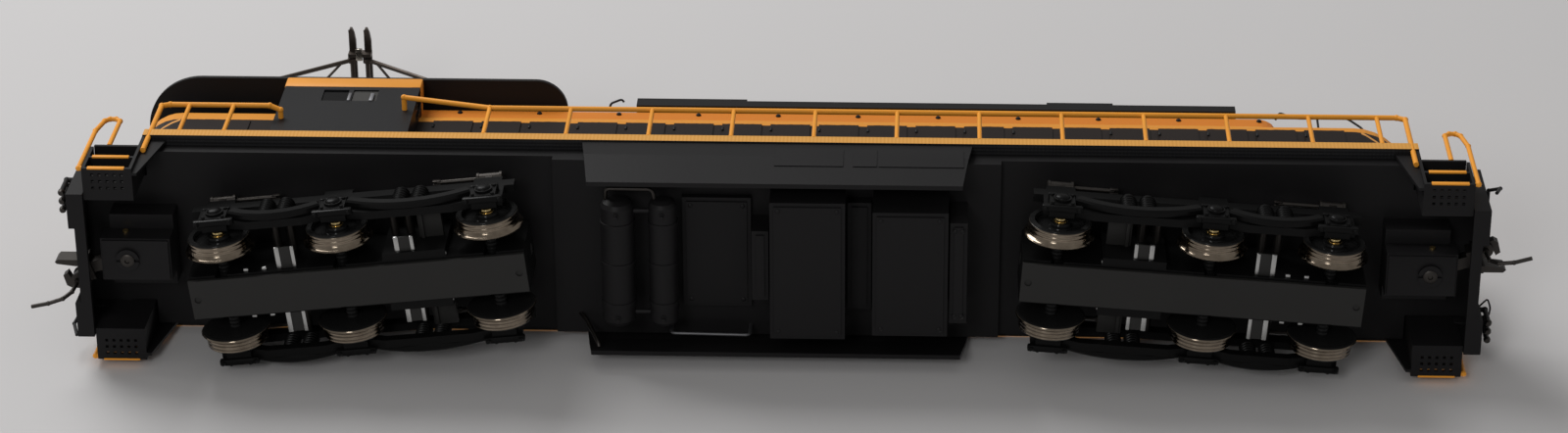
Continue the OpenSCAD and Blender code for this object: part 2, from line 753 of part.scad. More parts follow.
// Side rail seen from the +Y side; the other side is its mirror image
module side_rail() {
    end_x = end_post_x;
    last_x = end_x - end_post_in;
    post_n = floor((last_x - front_post_pitch + post_x) / post_pitch);
    foot_z = deck_z - rail_foot;
    front_xs = [-end_x + end_post_in, -end_x + end_post_in + front_post_pitch];
    hook_z = rail_z + hook_h;
    cab_in = 1.2;
    post_r = rail_r * 0.85;
    post_l = rail_h + rail_r / 3;
    for (x = front_xs) translate([x, rail_y, deck_z]) cylinder(h = post_l, r = post_r);
    wire([[-end_x, rail_y, foot_z], [-end_x, rail_y, rail_z - 0.6], [-end_x + 1.4, rail_y, rail_z],
        [-cab_front_x - 0.6, rail_y, rail_z], [-cab_front_x + cab_in, rail_y - 0.8, rail_z],
        [-cab_front_x + cab_in, cab_half_w, rail_z]], rail_r);
    for (i = [0 : post_n]) {
        x = -post_x + i * post_pitch;
        translate([x, rail_y, deck_z]) cylinder(h = post_l, r = post_r);
    }
    translate([last_x, rail_y, deck_z]) cylinder(h = post_l, r = post_r);
    wire([[-cab_rear_x - 1.6, cab_half_w, hook_z], [-cab_rear_x - 1.6, rail_y, hook_z],
        [-post_x, rail_y, rail_z], [end_x - 1.4, rail_y, rail_z], [end_x, rail_y, rail_z - 0.8],
        [end_x, rail_y, foot_z]], rail_r);
}

module left_handrail() {
    color("gold") mirror([0, 1, 0]) side_rail();
}

module right_handrail() {
    color("gold") side_rail();
}

module step_rails() {
    out_x = tread_out_x + step_cheek_t + rail_r + 0.1;
    back_x = tread_out_x - 2.4;
    top_z = deck_z + loop_h;
    low_z = tread_z + 0.6;
    bend = 0.8;
    color("gold") four_corners() wire([[tread_out_x + step_cheek_t, rail_y, low_z], [out_x, rail_y, low_z],
        [out_x, rail_y, deck_z], [out_x - bend, rail_y, top_z - bend], [out_x - 2 * bend, rail_y, top_z],
        [back_x + bend, rail_y, top_z], [back_x, rail_y, top_z - bend],
        [back_x, rail_y, tread_z + 2 * tread_rise + tread_t]], rail_r * 0.9);
}

module headlights() {
    lens_r = 1;
    lens_z = nose_z - 5;
    lens_t = 0.8;
    color("white") {
        for (y = [-1.3, 1.3]) {
            translate([-nose_x, y, lens_z]) rotate([0, -90, 0]) cylinder(h = lens_t, r = lens_r);
            translate([hood_end_x, y, lens_z]) rotate([0, 90, 0]) cylinder(h = lens_t, r = lens_r);
        }
    }
}

// Uncoupling lever and air hoses on each end sheet
module end_levers() {
    lever_r = 0.3;
    lever_x = sheet_x + 0.7;
    lever_z = deck_z - lever_drop;
    hose_r = 0.45;
    hose_x = sheet_x + 1.4;
    hose_z = lever_z - 2;
    color("dimgray") both_ends() {
        for (y = [-sheet_half_w + 4.4, 2])
            rod([sheet_x, y, lever_z], [lever_x + fuse, y, lever_z], lever_r * 1.4);
        wire([[lever_x, 3, lever_z], [lever_x, -sheet_half_w + 1, lever_z],
            [lever_x + 1.4, -sheet_half_w - 1, lever_z - 3.4],
            [lever_x + 0.4, -sheet_half_w - 1.6, lever_z - 6.4]], lever_r);
        for (i = [0 : 2]) {
            y = sheet_half_w - 1.2 - i * hose_pitch;
            wire([[sheet_x, y, hose_z], [hose_x, y, hose_z], [hose_x, y, hose_z - hose_l]], hose_r);
        }
    }
}

// Motor and what sits with it inside the hood

module motor_can() {
    end_t = 2;
    boss_r = 2.4;
    boss_l = 1;
    bore_r = motor_h / 2 - 0.8;
    color("silver") difference() {
        union() {
            intersection() {
                bar_x(-motor_l / 2, motor_l / 2, 0, shaft_z, motor_w / 2);
                slab([motor_l, motor_w, motor_h], [0, 0, shaft_z - motor_h / 2]);
            }
            bar_x(-motor_l / 2 - boss_l, motor_l / 2 + boss_l, 0, shaft_z, boss_r);
        }
        bar_x(-motor_l / 2 + end_t, motor_l / 2 - end_t, 0, shaft_z, bore_r);
        bar_x(-motor_l, motor_l, 0, shaft_z, shaft_r + run);
    }
}

// Armature, shaft and the two drive shafts, whose balls sit on the truck pivots
module motor_shaft() {
    armature_r = motor_h / 2 - 0.8 - gap;
    armature_l = motor_l - 8;
    poles = 5;
    slot_w = 1;
    color("silver") {
        bar_x(-pivot_x, pivot_x, 0, shaft_z, shaft_r);
        both_ends() translate([pivot_x, 0, shaft_z]) sphere(ball_r);
        difference() {
            bar_x(-armature_l / 2, armature_l / 2, 0, shaft_z, armature_r);
            for (i = [0 : poles - 1]) translate([0, 0, shaft_z]) rotate([360 / poles * i, 0, 0])
                slab([armature_l + 1, slot_w, armature_r], [0, 0, armature_r * 0.45]);
        }
    }
}

module flywheels() {
    inner = motor_l / 2 + 2.4;
    color("goldenrod") both_ends() difference() {
        bar_x(inner, inner + flywheel_l, 0, shaft_z, flywheel_r);
        bar_x(inner - 1, inner + flywheel_l + 1, 0, shaft_z, shaft_r);
    }
}

weight_top = shoulder_z - wall - 2;

// Saddle weights that stand on the walkway, astride the drive shafts
module ballast_weights() {
    leg_t = 1.6;
    half_w = raised_half_w - wall - gap;
    inner = motor_l / 2 + flywheel_l + 6;
    outer = pivot_x - collar_r - clip_w - 2;
    arch_z = shaft_z + flywheel_r + 1;
    color("slategray") both_ends() difference() {
        block([inner, -half_w, deck_z], [outer, half_w, weight_top]);
        block([inner - 1, -half_w + leg_t, deck_z - 1], [outer + 1, half_w - leg_t, arch_z]);
    }
}

module circuit_board() {
    board_t = 1;
    board_w = 14;
    half_l = motor_l / 2 + flywheel_l + 12;
    chip = [4, 6, 1.2];
    chip_pitch = 9;
    color("green") {
        slab([2 * half_l, board_w, board_t], [0, 0, weight_top]);
        for (i = [-2 : 2]) slab(chip, [i * chip_pitch, 0, weight_top + board_t]);
    }
}

// Trucks, drawn with the pivot at the origin and the outer end towards -X

module front_truck() {
    translate([-pivot_x, 0, 0]) rotate([0, 0, front_swivel]) children();
}

module rear_truck() {
    translate([pivot_x, 0, 0]) rotate([0, 0, 180 + rear_swivel]) children();
}

// Case with the worm shaft inside, a gear tower through the floor and a round pivot collar
module gear_case() {
    seat_z = floor_z - gap;
    flange_r = collar_r + 2.2;
    groove_z = floor_top + gap / 2;
    case_in = case_w / 2 - case_wall;
    color("black") difference() {
        union() {
            block([case_x0, -case_w / 2, case_z], [case_x1, case_w / 2, case_top]);
            block([-tower_half, -tower_half, case_z], [tower_half, tower_half, tower_top]);
            translate([0, 0, case_top - fuse]) cylinder(h = groove_z + clip_t + 1 - case_top, r = collar_r);
            translate([0, 0, case_top - fuse]) cylinder(h = seat_z - case_top + fuse, r = flange_r);
        }
        block([case_x0 + case_wall, -case_in, case_z - 1],
            [case_x1 - case_wall, case_in, case_top - case_wall]);
        block([-tower_in, -tower_in, case_z + case_wall], [tower_in, tower_in, tower_top - 0.8]);
        bar_x(case_x0 - 1, case_x1 + 1, 0, worm_z, stub_r + run);
        bar_x(-tower_half - 1, tower_half + 1, 0, (worm_z + shaft_z) / 2, stub_r + run);
        bar_x(-tower_half - 1, 0, 0, shaft_z, stub_r + run);
        bar_x(0, tower_half + 1, 0, shaft_z, cup_r + run);
        for (x = axle_xs) {
            bar_y(-case_w, case_w, x, axle_z, axle_r + run);
            slab([2 * (axle_r + run), 2 * case_w, axle_z - case_z + 1], [x, 0, case_z - 1]);
        }
        translate([0, 0, groove_z]) difference() {
            cylinder(h = clip_t, r = collar_r + 1);
            cylinder(h = clip_t, r = collar_r - clip_groove);
        }
    }
}

module gear_cover() {
    screw_y = 1.2;
    color("dimgray") difference() {
        block([case_x0, -case_w / 2 + 0.5, case_z - cover_t], [case_x1, case_w / 2 - 0.5, case_z]);
        for (x = [case_x0 + screw_y, case_x1 - screw_y])
            translate([x, 0, case_z - cover_t - 1]) cylinder(h = 1.3, r = 0.6);
    }
}

// Spring clip that snaps into the collar above the floor
module pivot_clip() {
    groove_z = floor_top + gap / 2;
    mouth = 8;
    color("silver") translate([0, 0, groove_z]) difference() {
        cylinder(h = clip_t, r = collar_r + clip_w);
        translate([0, 0, -1]) cylinder(h = clip_t + 2, r = collar_r - clip_groove);
        slab([2 * collar_r, mouth, clip_t + 2], [-collar_r - clip_w, 0, -1]);
    }
}

frame_mid_z = floor_z - 7.6;
chord_h = 2.2;
foot_h = 1.4;
frame_top_z = frame_mid_z + chord_h + foot_h;
frame_over = 4.6;
box_half_l = 2.1;

// Cast side frame outline in X and Z: top chord, pedestals and dropped beams between the axles
module side_frame_outline() {
    drop_z = 3.6;
    drop_h = 1.7;
    translate([outer_x - frame_over, frame_mid_z]) square([inner_x - outer_x + 2 * frame_over, chord_h]);
    for (x = axle_xs) {
        translate([x - 3, axle_z - 1.2]) square([1.1, frame_mid_z - axle_z + 2]);
        translate([x + 1.9, axle_z - 1.2]) square([1.1, frame_mid_z - axle_z + 2]);
        translate([x - 2.4, frame_mid_z]) square([4.8, chord_h + foot_h]);
    }
    for (pair = [[outer_x, mid_x], [mid_x, inner_x]]) {
        a = pair[0] + 1.9;
        b = pair[1] - 1.9;
        rise = 3.4;
        polygon([[a, axle_z - 1.2], [a + rise, drop_z], [b - rise, drop_z], [b, axle_z - 1.2],
            [b, axle_z + drop_h - 1], [b - rise, drop_z + drop_h], [a + rise, drop_z + drop_h],
            [a, axle_z + drop_h - 1]]);
    }
}

// Journal box with its lid, bored for the axle end
module journal_box() {
    depth = 2.4;
    bore_l = 1.3;
    difference() {
        union() {
            slab([2 * box_half_l, depth, 4], [0, frame_y + depth / 2, axle_z - 2]);
            bar_y(frame_y, frame_y + depth + 0.4, 0, axle_z + 0.2, 1.5);
        }
        bar_y(frame_y - 1, frame_y + bore_l, 0, axle_z, journal_r + run);
    }
}

module side_frames() {
    spring_r = 1.2;
    color("black") both_sides() {
        difference() {
            union() {
                translate([0, frame_y + frame_t, 0]) rotate([90, 0, 0])
                    linear_extrude(frame_t) side_frame_outline();
                for (x = [(outer_x + mid_x) / 2, (mid_x + inner_x) / 2], s = [-1.6, 1.6])
                    translate([x + s, frame_y + frame_t, 5]) cylinder(h = frame_mid_z - 4.8, r = spring_r);
            }
            for (x = axle_xs) bar_y(frame_y - 1, frame_y + frame_t, x, axle_z, journal_r + run);
        }
        for (x = axle_xs) translate([x, 0, 0]) journal_box();
    }
}

// Cross bars that carry the side frames, brake cylinders and their rods
module rigging() {
    bar_z = frame_mid_z + 0.8;
    bar_r = 0.7;
    bar_step = 1.3;
    brake_r = 0.9;
    brake_y = frame_y + frame_t / 2;
    brake_z = frame_top_z + gap + brake_r;
    rod_l = 9;
    color("silver") both_sides() {
        for (s = [-bar_step, bar_step]) {
            bar_y(case_w / 2, frame_y, (outer_x + mid_x) / 2 + s, bar_z, bar_r);
            bar_y(tower_half, frame_y, s - 2 * bar_step, bar_z, bar_r);
        }
        for (x = [outer_x, inner_x]) {
            bar_x(x - 2, x + 2, brake_y, brake_z, brake_r);
            slab([1.2, frame_t, brake_z - frame_top_z], [x, brake_y, frame_top_z]);
        }
        bar_x(outer_x, outer_x + rod_l, brake_y, brake_z, brake_r * 0.4);
        bar_x(inner_x - rod_l, inner_x, brake_y, brake_z, brake_r * 0.4);
    }
}

// One wheel about Z: its back lies on Z = 0 and its face looks along +Z
module wheel() {
    tip_r = wheel_r + flange_h;
    rim_r = wheel_r - 1;
    hub_r = 2;
    web = wheel_w * 0.62;
    rotate_extrude($fn = 48) polygon([
        [axle_r, 0], [rim_r, 0], [wheel_r + 0.1, 0], [tip_r - 0.15, 0.1], [tip_r, 0.32],
        [tip_r - 0.12, 0.55],
        [wheel_r + 0.12, 0.8], [wheel_r, 1], [wheel_r - 0.08, wheel_w - 0.2], [wheel_r - 0.25, wheel_w],
        [rim_r, wheel_w], [rim_r - 0.3, web], [hub_r, web], [hub_r - 0.2, wheel_w - 0.1],
        [axle_r, wheel_w - 0.1]
    ]);
}

// Wheels, axle and axle gear of one axle
module wheelset(x) {
    gear_half_w = case_w / 2 - case_wall - gap;
    translate([x, 0, axle_z]) {
        color("silver") both_sides() translate([0, wheel_back / 2, 0]) rotate([-90, 0, 0]) wheel();
        color("goldenrod") {
            bar_y(-frame_y + 0.4, frame_y - 0.4, 0, 0, axle_r);
            bar_y(-frame_y - 1, frame_y + 1, 0, 0, journal_r);
            translate([0, gear_half_w, 0]) rotate([90, 0, 0]) linear_extrude(2 * gear_half_w)
                polygon(gear_points(axle_teeth, axle_gear_r));
        }
    }
}

tip_r = tower_gear_r * (1 + 1.6 / tower_teeth);
mesh_phase = -90 + 180 / tower_teeth;

// Upper tower gear with the cup that takes the drive shaft's ball
module drive_cup() {
    color("goldenrod") difference() {
        union() {
            translate([gear_x, 0, shaft_z]) gear_x_axis(tower_teeth, tip_r, gear_w, mesh_phase);
            bar_x(gear_x + gear_w - fuse, tower_half + 0.1, 0, shaft_z, cup_r);
            bar_x(-tower_half, gear_x + fuse, 0, shaft_z, stub_r);
        }
        bar_x(-1.8, tower_half + 1, 0, shaft_z, cup_bore_r);
    }
}

module tower_idler() {
    z = (worm_z + shaft_z) / 2;
    color("goldenrod") {
        translate([gear_x, 0, z]) gear_x_axis(tower_teeth, tip_r, gear_w, mesh_phase);
        bar_x(-tower_half, tower_half, 0, z, stub_r);
    }
}

module worm_shaft() {
    color("silver") {
        translate([gear_x, 0, worm_z]) gear_x_axis(tower_teeth, tip_r, gear_w, 90);
        bar_x(case_x0, case_x1, 0, worm_z, stub_r);
        for (x = axle_xs) bar_x(x - worm_l / 2, x + worm_l / 2, 0, worm_z, worm_r);
    }
}

// Couplers, drawn with the pivot at the origin and the face towards +X

knuckle_x = coupler_l - 2.4;
knuckle_y = -1.5;
head_h = 3.2;
knuckle_h = 1.6;
pivot_pin_r = 0.55;

module front_coupling() {
    translate([-coupler_x, 0, 0]) rotate([0, 0, 180 + coupler_swing]) children();
}

module rear_coupling() {
    translate([coupler_x, 0, 0]) rotate([0, 0, coupler_swing]) children();
}

module coupler() {
    eye = 2;
    shank_w = 2;
    head_x = coupler_l - 5.6;
    ear_r = 1.3;
    low = coupler_z - head_h / 2;
    color("dimgray") difference() {
        union() {
            translate([0, 0, coupler_z - shank_t / 2]) cylinder(h = shank_t, r = eye);
            block([0, -shank_w / 2, coupler_z - shank_t / 2],
                [head_x + 1, shank_w / 2, coupler_z + shank_t / 2]);
            block([head_x, -2, low], [head_x + 1.6, 2.2, low + head_h]);
            translate([0, 0, low]) linear_extrude(head_h) polygon([[head_x + 1, 0.9], [head_x + 1.6, 2.2],
                [coupler_l - 0.6, 3.3], [coupler_l, 3], [coupler_l - 0.2, 2.6], [head_x + 2.4, 1.2]]);
            block([head_x + 1, knuckle_y - ear_r + 0.4, low],
                [knuckle_x, knuckle_y + ear_r - 0.4, low + head_h]);
            translate([knuckle_x, knuckle_y, low]) cylinder(h = head_h, r = ear_r);
        }
        cylinder(h = floor_top, r = screw_r + run);
        translate([0, 0, coupler_z - knuckle_h / 2 - gap])
            block([head_x + 1.8, knuckle_y - 2 * ear_r, 0],
                [coupler_l + 1, knuckle_y + 1.9, knuckle_h + 2 * gap]);
        translate([knuckle_x, knuckle_y, 0]) cylinder(h = floor_top, r = pivot_pin_r + run);
    }
}

// Knuckle with its pivot pin and the curved trip pin below it
module knuckle() {
    low = coupler_z - knuckle_h / 2;
    tail = 0.9;
    color("dimgray") {
        translate([knuckle_x, knuckle_y, low]) cylinder(h = knuckle_h, r = 1.1);
        translate([0, 0, low]) linear_extrude(knuckle_h) polygon([
            [knuckle_x - 0.3, knuckle_y - 1], [coupler_l - 0.6, knuckle_y - 1.1],
            [coupler_l, knuckle_y - 0.5],
            [coupler_l - 0.1, knuckle_y + 1.4], [coupler_l - 1, knuckle_y + 1.7],
            [coupler_l - 1.2, knuckle_y + 0.5], [knuckle_x, knuckle_y + 0.9]
        ]);
        translate([knuckle_x, knuckle_y, coupler_z - head_h / 2 - tail])
            cylinder(h = head_h + 1.1 * tail, r = pivot_pin_r);
        wire([[knuckle_x, knuckle_y, coupler_z - head_h / 2 - tail / 2], [knuckle_x + 0.3, knuckle_y, 5.4],
            [knuckle_x + 1.6, knuckle_y, 3.6], [knuckle_x + 4, knuckle_y + 0.2, 2.9],
            [knuckle_x + 7, knuckle_y + 0.4, 3.1]], pin_r);
    }
}

// Pantograph: a folding diamond of four equal arms

pan_top_z = pan_foot.z + 2 * arm_dz;
shaft_pan_r = 0.4;

// s is -1 for the front pair of arms and 1 for the rear pair
function foot_at(s) = [-pan_x + s * pan_spread, 0, pan_foot.z];
function elbow_at(s) = foot_at(s) + [s * arm_dx, 0, arm_dz];
function head_at(s) = foot_at(s) + [0, 0, 2 * arm_dz];

module pantograph_base() {
    half_l = 10;
    rail_w = 1;
    post_h = pan_foot.z - pan_base_z + 0.9;
    rib = 0.4;
    color("black") difference() {
        union() {
            for (s = [-1, 1]) {
                slab([2 * half_l, rail_w, rail_w], [-pan_x, s * base_y, pan_base_z]);
                slab([rail_w, 2 * base_y, rail_w], [-pan_x + s * half_l, 0, pan_base_z]);
                slab([2 * pan_spread + 2.4, rail_w, post_h], [-pan_x, s * base_y, pan_base_z]);
                for (t = [-1, 1]) translate([-pan_x + s * half_l, t * base_y, platform_top]) {
                    cylinder(h = insulator_h + fuse, r = 0.8);
                    for (k = [0 : 1]) translate([0, 0, 0.2 + k * 2 * rib]) cylinder(h = rib, r = 1.3);
                }
            }
        }
        for (s = [-1, 1]) bar_y(-base_y - 2, base_y + 2, foot_at(s).x, pan_foot.z, shaft_pan_r + run);
    }
}

module lower_arm(s) {
    a = foot_at(s);
    b = elbow_at(s);
    color("dimgray") {
        bar_y(-base_y - rail_r, base_y + rail_r, a.x, a.z, shaft_pan_r);
        bar_y(-lower_y - arm_r, lower_y + arm_r, b.x, b.z, shaft_pan_r);
        for (y = [-lower_y, lower_y]) rod(a + [0, y, 0], b + [0, y, 0], arm_r * 1.2);
        for (t = [0.34, 0.7]) {
            c = a + t * (b - a);
            bar_y(-lower_y, lower_y, c.x, c.z, arm_r * 0.8);
        }
    }
}

module upper_arm(s, top_run) {
    a = elbow_at(s);
    b = head_at(s);
    brace_a = a + 0.12 * (b - a);
    brace_b = a + 0.9 * (b - a);
    color("dimgray") difference() {
        union() {
            for (y = [-upper_y, upper_y]) {
                rod(a + [0, y, 0], b + [0, y, 0], arm_r);
                for (p = [a, b]) bar_y(y - eye_w / 2, y + eye_w / 2, p.x, p.z, eye_r);
            }
            for (t = [-1, 1]) rod(brace_a + [0, t * upper_y, 0], brace_b - [0, t * upper_y, 0], arm_r * 0.6);
        }
        bar_y(-lower_y, lower_y, a.x, a.z, shaft_pan_r + run);
        bar_y(-lower_y, lower_y, b.x, b.z, shaft_pan_r + top_run);
    }
}

module collector_head() {
    strip_w = 1;
    strip_t = 0.8;
    strip_z = pan_top_z + eye_r + gap;
    flat = strip_half_l - 3;
    drop = 1.2;
    link_t = 0.6;
    link_y = upper_y + eye_w / 2 + gap;
    color("black") {
        for (s = [-1, 1]) {
            bar_y(-link_y - link_t, link_y + link_t, head_at(s).x, pan_top_z, shaft_pan_r);
            translate([head_at(s).x - strip_w / 2, 0, strip_z]) rotate([90, 0, 90]) linear_extrude(strip_w)
                polygon([[-strip_half_l, -drop], [-flat, 0], [flat, 0], [strip_half_l, -drop],
                    [strip_half_l, strip_t / 2 - drop], [flat, strip_t], [-flat, strip_t],
                    [-strip_half_l, strip_t / 2 - drop]]);
        }
        for (t = [-1, 1])
            block([-pan_x - pan_spread - 0.7, t > 0 ? link_y : -link_y - link_t, pan_top_z - 0.6],
                [-pan_x + pan_spread + 0.7, t > 0 ? link_y + link_t : -link_y, strip_z + strip_t / 2]);
    }
}

// Each node by name

chassis_floor();
motor_cradle();
walkway();
side_skirts();
end_sheets();
corner_steps();
coupler_boxes();
coupler_screws();
air_tanks();
underfloor_boxes();
slim_cabinets();
short_hood();
cab();
cab_roof();
cab_glass();
long_hood();
roof_panel();
pantograph_platform();
left_handrail();
right_handrail();
step_rails();
headlights();
end_levers();
ballast_weights();
circuit_board();
motor_can();
motor_shaft();
flywheels();
front_truck() gear_case();  // front_gear_case
front_truck() gear_cover();  // front_gear_cover
front_truck() pivot_clip();  // front_pivot_clip
front_truck() side_frames();  // front_side_frames
front_truck() rigging();  // front_rigging
front_truck() wheelset(outer_x);  // front_outer_wheels
front_truck() wheelset(mid_x);  // front_middle_wheels
front_truck() wheelset(inner_x);  // front_inner_wheels
front_truck() drive_cup();  // front_drive_cup
front_truck() tower_idler();  // front_tower_idler
front_truck() worm_shaft();  // front_worm_shaft
rear_truck() gear_case();  // rear_gear_case
rear_truck() gear_cover();  // rear_gear_cover
rear_truck() pivot_clip();  // rear_pivot_clip
rear_truck() side_frames();  // rear_side_frames
rear_truck() rigging();  // rear_rigging
rear_truck() wheelset(outer_x);  // rear_outer_wheels
rear_truck() wheelset(mid_x);  // rear_middle_wheels
rear_truck() wheelset(inner_x);  // rear_inner_wheels
rear_truck() drive_cup();  // rear_drive_cup
rear_truck() tower_idler();  // rear_tower_idler
rear_truck() worm_shaft();  // rear_worm_shaft
front_coupling() coupler();  // front_coupler
rear_coupling() coupler();  // rear_coupler
front_coupling() knuckle();  // front_knuckle
rear_coupling() knuckle();  // rear_knuckle
pantograph_base();
lower_arm(-1);  // front_lower_arm
lower_arm(1);  // rear_lower_arm
upper_arm(-1, run);  // front_upper_arm
upper_arm(1, gap);  // rear_upper_arm
collector_head();
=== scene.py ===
# %% [markdown]
# # A model electric locomotive on its side
#
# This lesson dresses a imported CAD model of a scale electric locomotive.
# The CAD solids stay as they are: they get painted and metal finishes,
# and small pieces that a model maker adds last are built around them.

# %% Load the fixed frame
import json
import math

import bmesh
import bpy
from mathutils import Matrix, Vector


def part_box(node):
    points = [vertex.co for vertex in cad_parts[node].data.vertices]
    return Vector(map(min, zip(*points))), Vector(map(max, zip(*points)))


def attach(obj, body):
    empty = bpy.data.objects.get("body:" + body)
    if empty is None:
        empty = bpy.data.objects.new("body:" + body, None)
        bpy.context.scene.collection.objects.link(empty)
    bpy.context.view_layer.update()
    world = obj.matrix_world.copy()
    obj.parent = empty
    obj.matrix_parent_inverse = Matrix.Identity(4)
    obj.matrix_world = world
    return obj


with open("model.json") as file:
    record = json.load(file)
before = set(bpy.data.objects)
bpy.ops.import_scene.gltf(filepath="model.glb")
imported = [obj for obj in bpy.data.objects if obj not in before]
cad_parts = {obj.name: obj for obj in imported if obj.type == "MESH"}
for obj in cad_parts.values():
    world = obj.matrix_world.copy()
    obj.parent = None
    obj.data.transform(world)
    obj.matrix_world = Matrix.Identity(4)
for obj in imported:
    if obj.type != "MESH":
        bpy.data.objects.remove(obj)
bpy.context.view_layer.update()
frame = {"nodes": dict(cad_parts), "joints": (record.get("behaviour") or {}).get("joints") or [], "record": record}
nodes = frame["nodes"]
MM = 0.001

# %% [markdown]
# ## Node helpers
# Every finish here is a small node tree. The trees could be linked node by node,
# but a few helpers keep them short: one fills or links a socket, one adds a sum,
# and one gives the position on the piece in millimetres, so that patterns can be
# written in the sizes of the model.

# %% Helpers that add and link nodes
def new_material(name):
    mat = bpy.data.materials.new(name)
    mat.use_nodes = True
    tree = mat.node_tree
    tree.nodes.clear()
    out = tree.nodes.new("ShaderNodeOutputMaterial")
    shader = tree.nodes.new("ShaderNodeBsdfPrincipled")
    tree.links.new(shader.outputs[0], out.inputs[0])
    return mat, tree, shader


def put(tree, socket, value):
    if isinstance(value, bpy.types.NodeSocket):
        tree.links.new(value, socket)
    elif hasattr(socket.default_value, "__len__") and len(value) == 3 and len(socket.default_value) == 4:
        socket.default_value = (*value, 1)
    else:
        socket.default_value = value


def math_node(tree, kind, a, b=0.0, c=0.0):
    node = tree.nodes.new("ShaderNodeMath")
    node.operation = kind
    for socket, value in zip(node.inputs, (a, b, c)):
        put(tree, socket, value)
    return node.outputs[0]


def vector_node(tree, kind, *values):
    node = tree.nodes.new("ShaderNodeVectorMath")
    node.operation = kind
    for socket, value in zip(node.inputs, values):
        put(tree, socket, value)
    return node


def mix_colour(tree, factor, a, b):
    node = tree.nodes.new("ShaderNodeMix")
    node.data_type = "RGBA"
    put(tree, node.inputs[0], factor)
    put(tree, node.inputs[6], a)
    put(tree, node.inputs[7], b)
    return node.outputs[2]


print("node helpers ready")

# %% Helpers for places and patterns
def step_at(tree, value, edge, soft):
    node = tree.nodes.new("ShaderNodeMapRange")
    node.interpolation_type = "SMOOTHSTEP"
    put(tree, node.inputs[0], value)
    node.inputs[1].default_value = edge - soft
    node.inputs[2].default_value = edge + soft
    return node.outputs[0]


def position_mm(tree):
    coords = tree.nodes.new("ShaderNodeTexCoord")
    scale = vector_node(tree, "SCALE", coords.outputs["Object"])
    scale.inputs[3].default_value = 1 / MM
    return scale.outputs[0]


def split_xyz(tree, vector):
    node = tree.nodes.new("ShaderNodeSeparateXYZ")
    tree.links.new(vector, node.inputs[0])
    return node.outputs


def noise(tree, vector, scale, detail=3.0):
    node = tree.nodes.new("ShaderNodeTexNoise")
    tree.links.new(vector, node.inputs["Vector"])
    node.inputs["Scale"].default_value = scale
    node.inputs["Detail"].default_value = detail
    return node.outputs["Fac"]


def vary_roughness(tree, shader, pattern, low, spread):
    put(tree, shader.inputs["Roughness"], math_node(tree, "MULTIPLY_ADD", pattern, spread, low))


def bump(tree, shader, height, strength, distance_mm):
    node = tree.nodes.new("ShaderNodeBump")
    node.inputs["Strength"].default_value = strength
    node.inputs["Distance"].default_value = distance_mm * MM
    tree.links.new(height, node.inputs["Height"])
    tree.links.new(node.outputs[0], shader.inputs["Normal"])


print("pattern helpers ready")

# %% [markdown]
# ## Moulded plastic
# Most of the model is injection-moulded plastic. Its skin has a fine orange
# peel from the mould, and handling polishes it unevenly. One flat colour would
# look like a drawing, so two noises are used: a wide one for the sheen and a
# fine one for the skin.

# %% Plastic finishes
SHEEN_SCALE, SKIN_SCALE, SKIN_DETAIL, SKIN_DEPTH = 0.09, 2.2, 4.0, 0.05


def plastic(name, colour, rough, spread=0.12, skin=0.25, gloss=0.3):
    mat, tree, shader = new_material(name)
    place = position_mm(tree)
    wide = noise(tree, place, SHEEN_SCALE)
    fine = noise(tree, place, SKIN_SCALE, SKIN_DETAIL)
    dark = [c * (1 - spread) for c in colour]
    light = [min(1, c * (1 + spread)) for c in colour]
    put(tree, shader.inputs["Base Color"], mix_colour(tree, wide, dark, light))
    vary_roughness(tree, shader, wide, rough - 0.11, 0.22)
    shader.inputs["Specular IOR Level"].default_value = gloss
    bump(tree, shader, fine, skin, SKIN_DEPTH)
    return mat


finishes = {
    "frame_black": plastic("frame_black", (0.0095, 0.009, 0.0095), 0.5, gloss=0.16),
    "cab_paint": plastic("cab_paint", (0.0095, 0.0096, 0.0105), 0.46, gloss=0.16),
    "roof_orange": plastic("roof_orange", (0.80, 0.325, 0.045), 0.42, gloss=0.2),
    "rail_yellow": plastic("rail_yellow", (0.86, 0.345, 0.035), 0.4, gloss=0.2),
    "truck_black": plastic("truck_black", (0.005, 0.005, 0.005), 0.34, gloss=0.09),
    "cover_grey": plastic("cover_grey", (0.022, 0.0215, 0.0205), 0.5, gloss=0.2),
    "board_green": plastic("board_green", (0.03, 0.2, 0.08), 0.4),
}
print("plastic finishes:", sorted(finishes))

# %% [markdown]
# ## Metals
# Turned metal shows fine tool marks, and blackened metal keeps a little sheen.
# A painted picture of scratches would need a map on every piece. A noise that is
# squeezed along one direction needs none, and serves colour, roughness and bump.

# %% Metal finishes
def metal(name, colour, rough, spread=0.15, grain=(0.4, 6.0, 0.4)):
    mat, tree, shader = new_material(name)
    squeezed = vector_node(tree, "MULTIPLY", position_mm(tree), grain).outputs[0]
    marks = noise(tree, squeezed, 1.0, 4.0)
    dark = [c * (1 - spread) for c in colour]
    put(tree, shader.inputs["Base Color"], mix_colour(tree, marks, dark, colour))
    vary_roughness(tree, shader, marks, rough - 0.12, 0.25)
    shader.inputs["Metallic"].default_value = 1.0
    bump(tree, shader, marks, 0.1, 0.02)
    return mat


metals = {
    "bright_steel": ((0.5, 0.5, 0.49), 0.3),
    "nickel": ((0.62, 0.57, 0.50), 0.25),
    "brass": ((0.72, 0.5, 0.2), 0.3),
    "lead": ((0.2, 0.2, 0.21), 0.55),
    "dark_steel": ((0.058, 0.053, 0.049), 0.45),
    "pantograph_metal": ((0.10, 0.083, 0.072), 0.5),
}
for name, (colour, rough) in metals.items():
    finishes[name] = metal(name, colour, rough)
print("metal finishes:", list(metals))

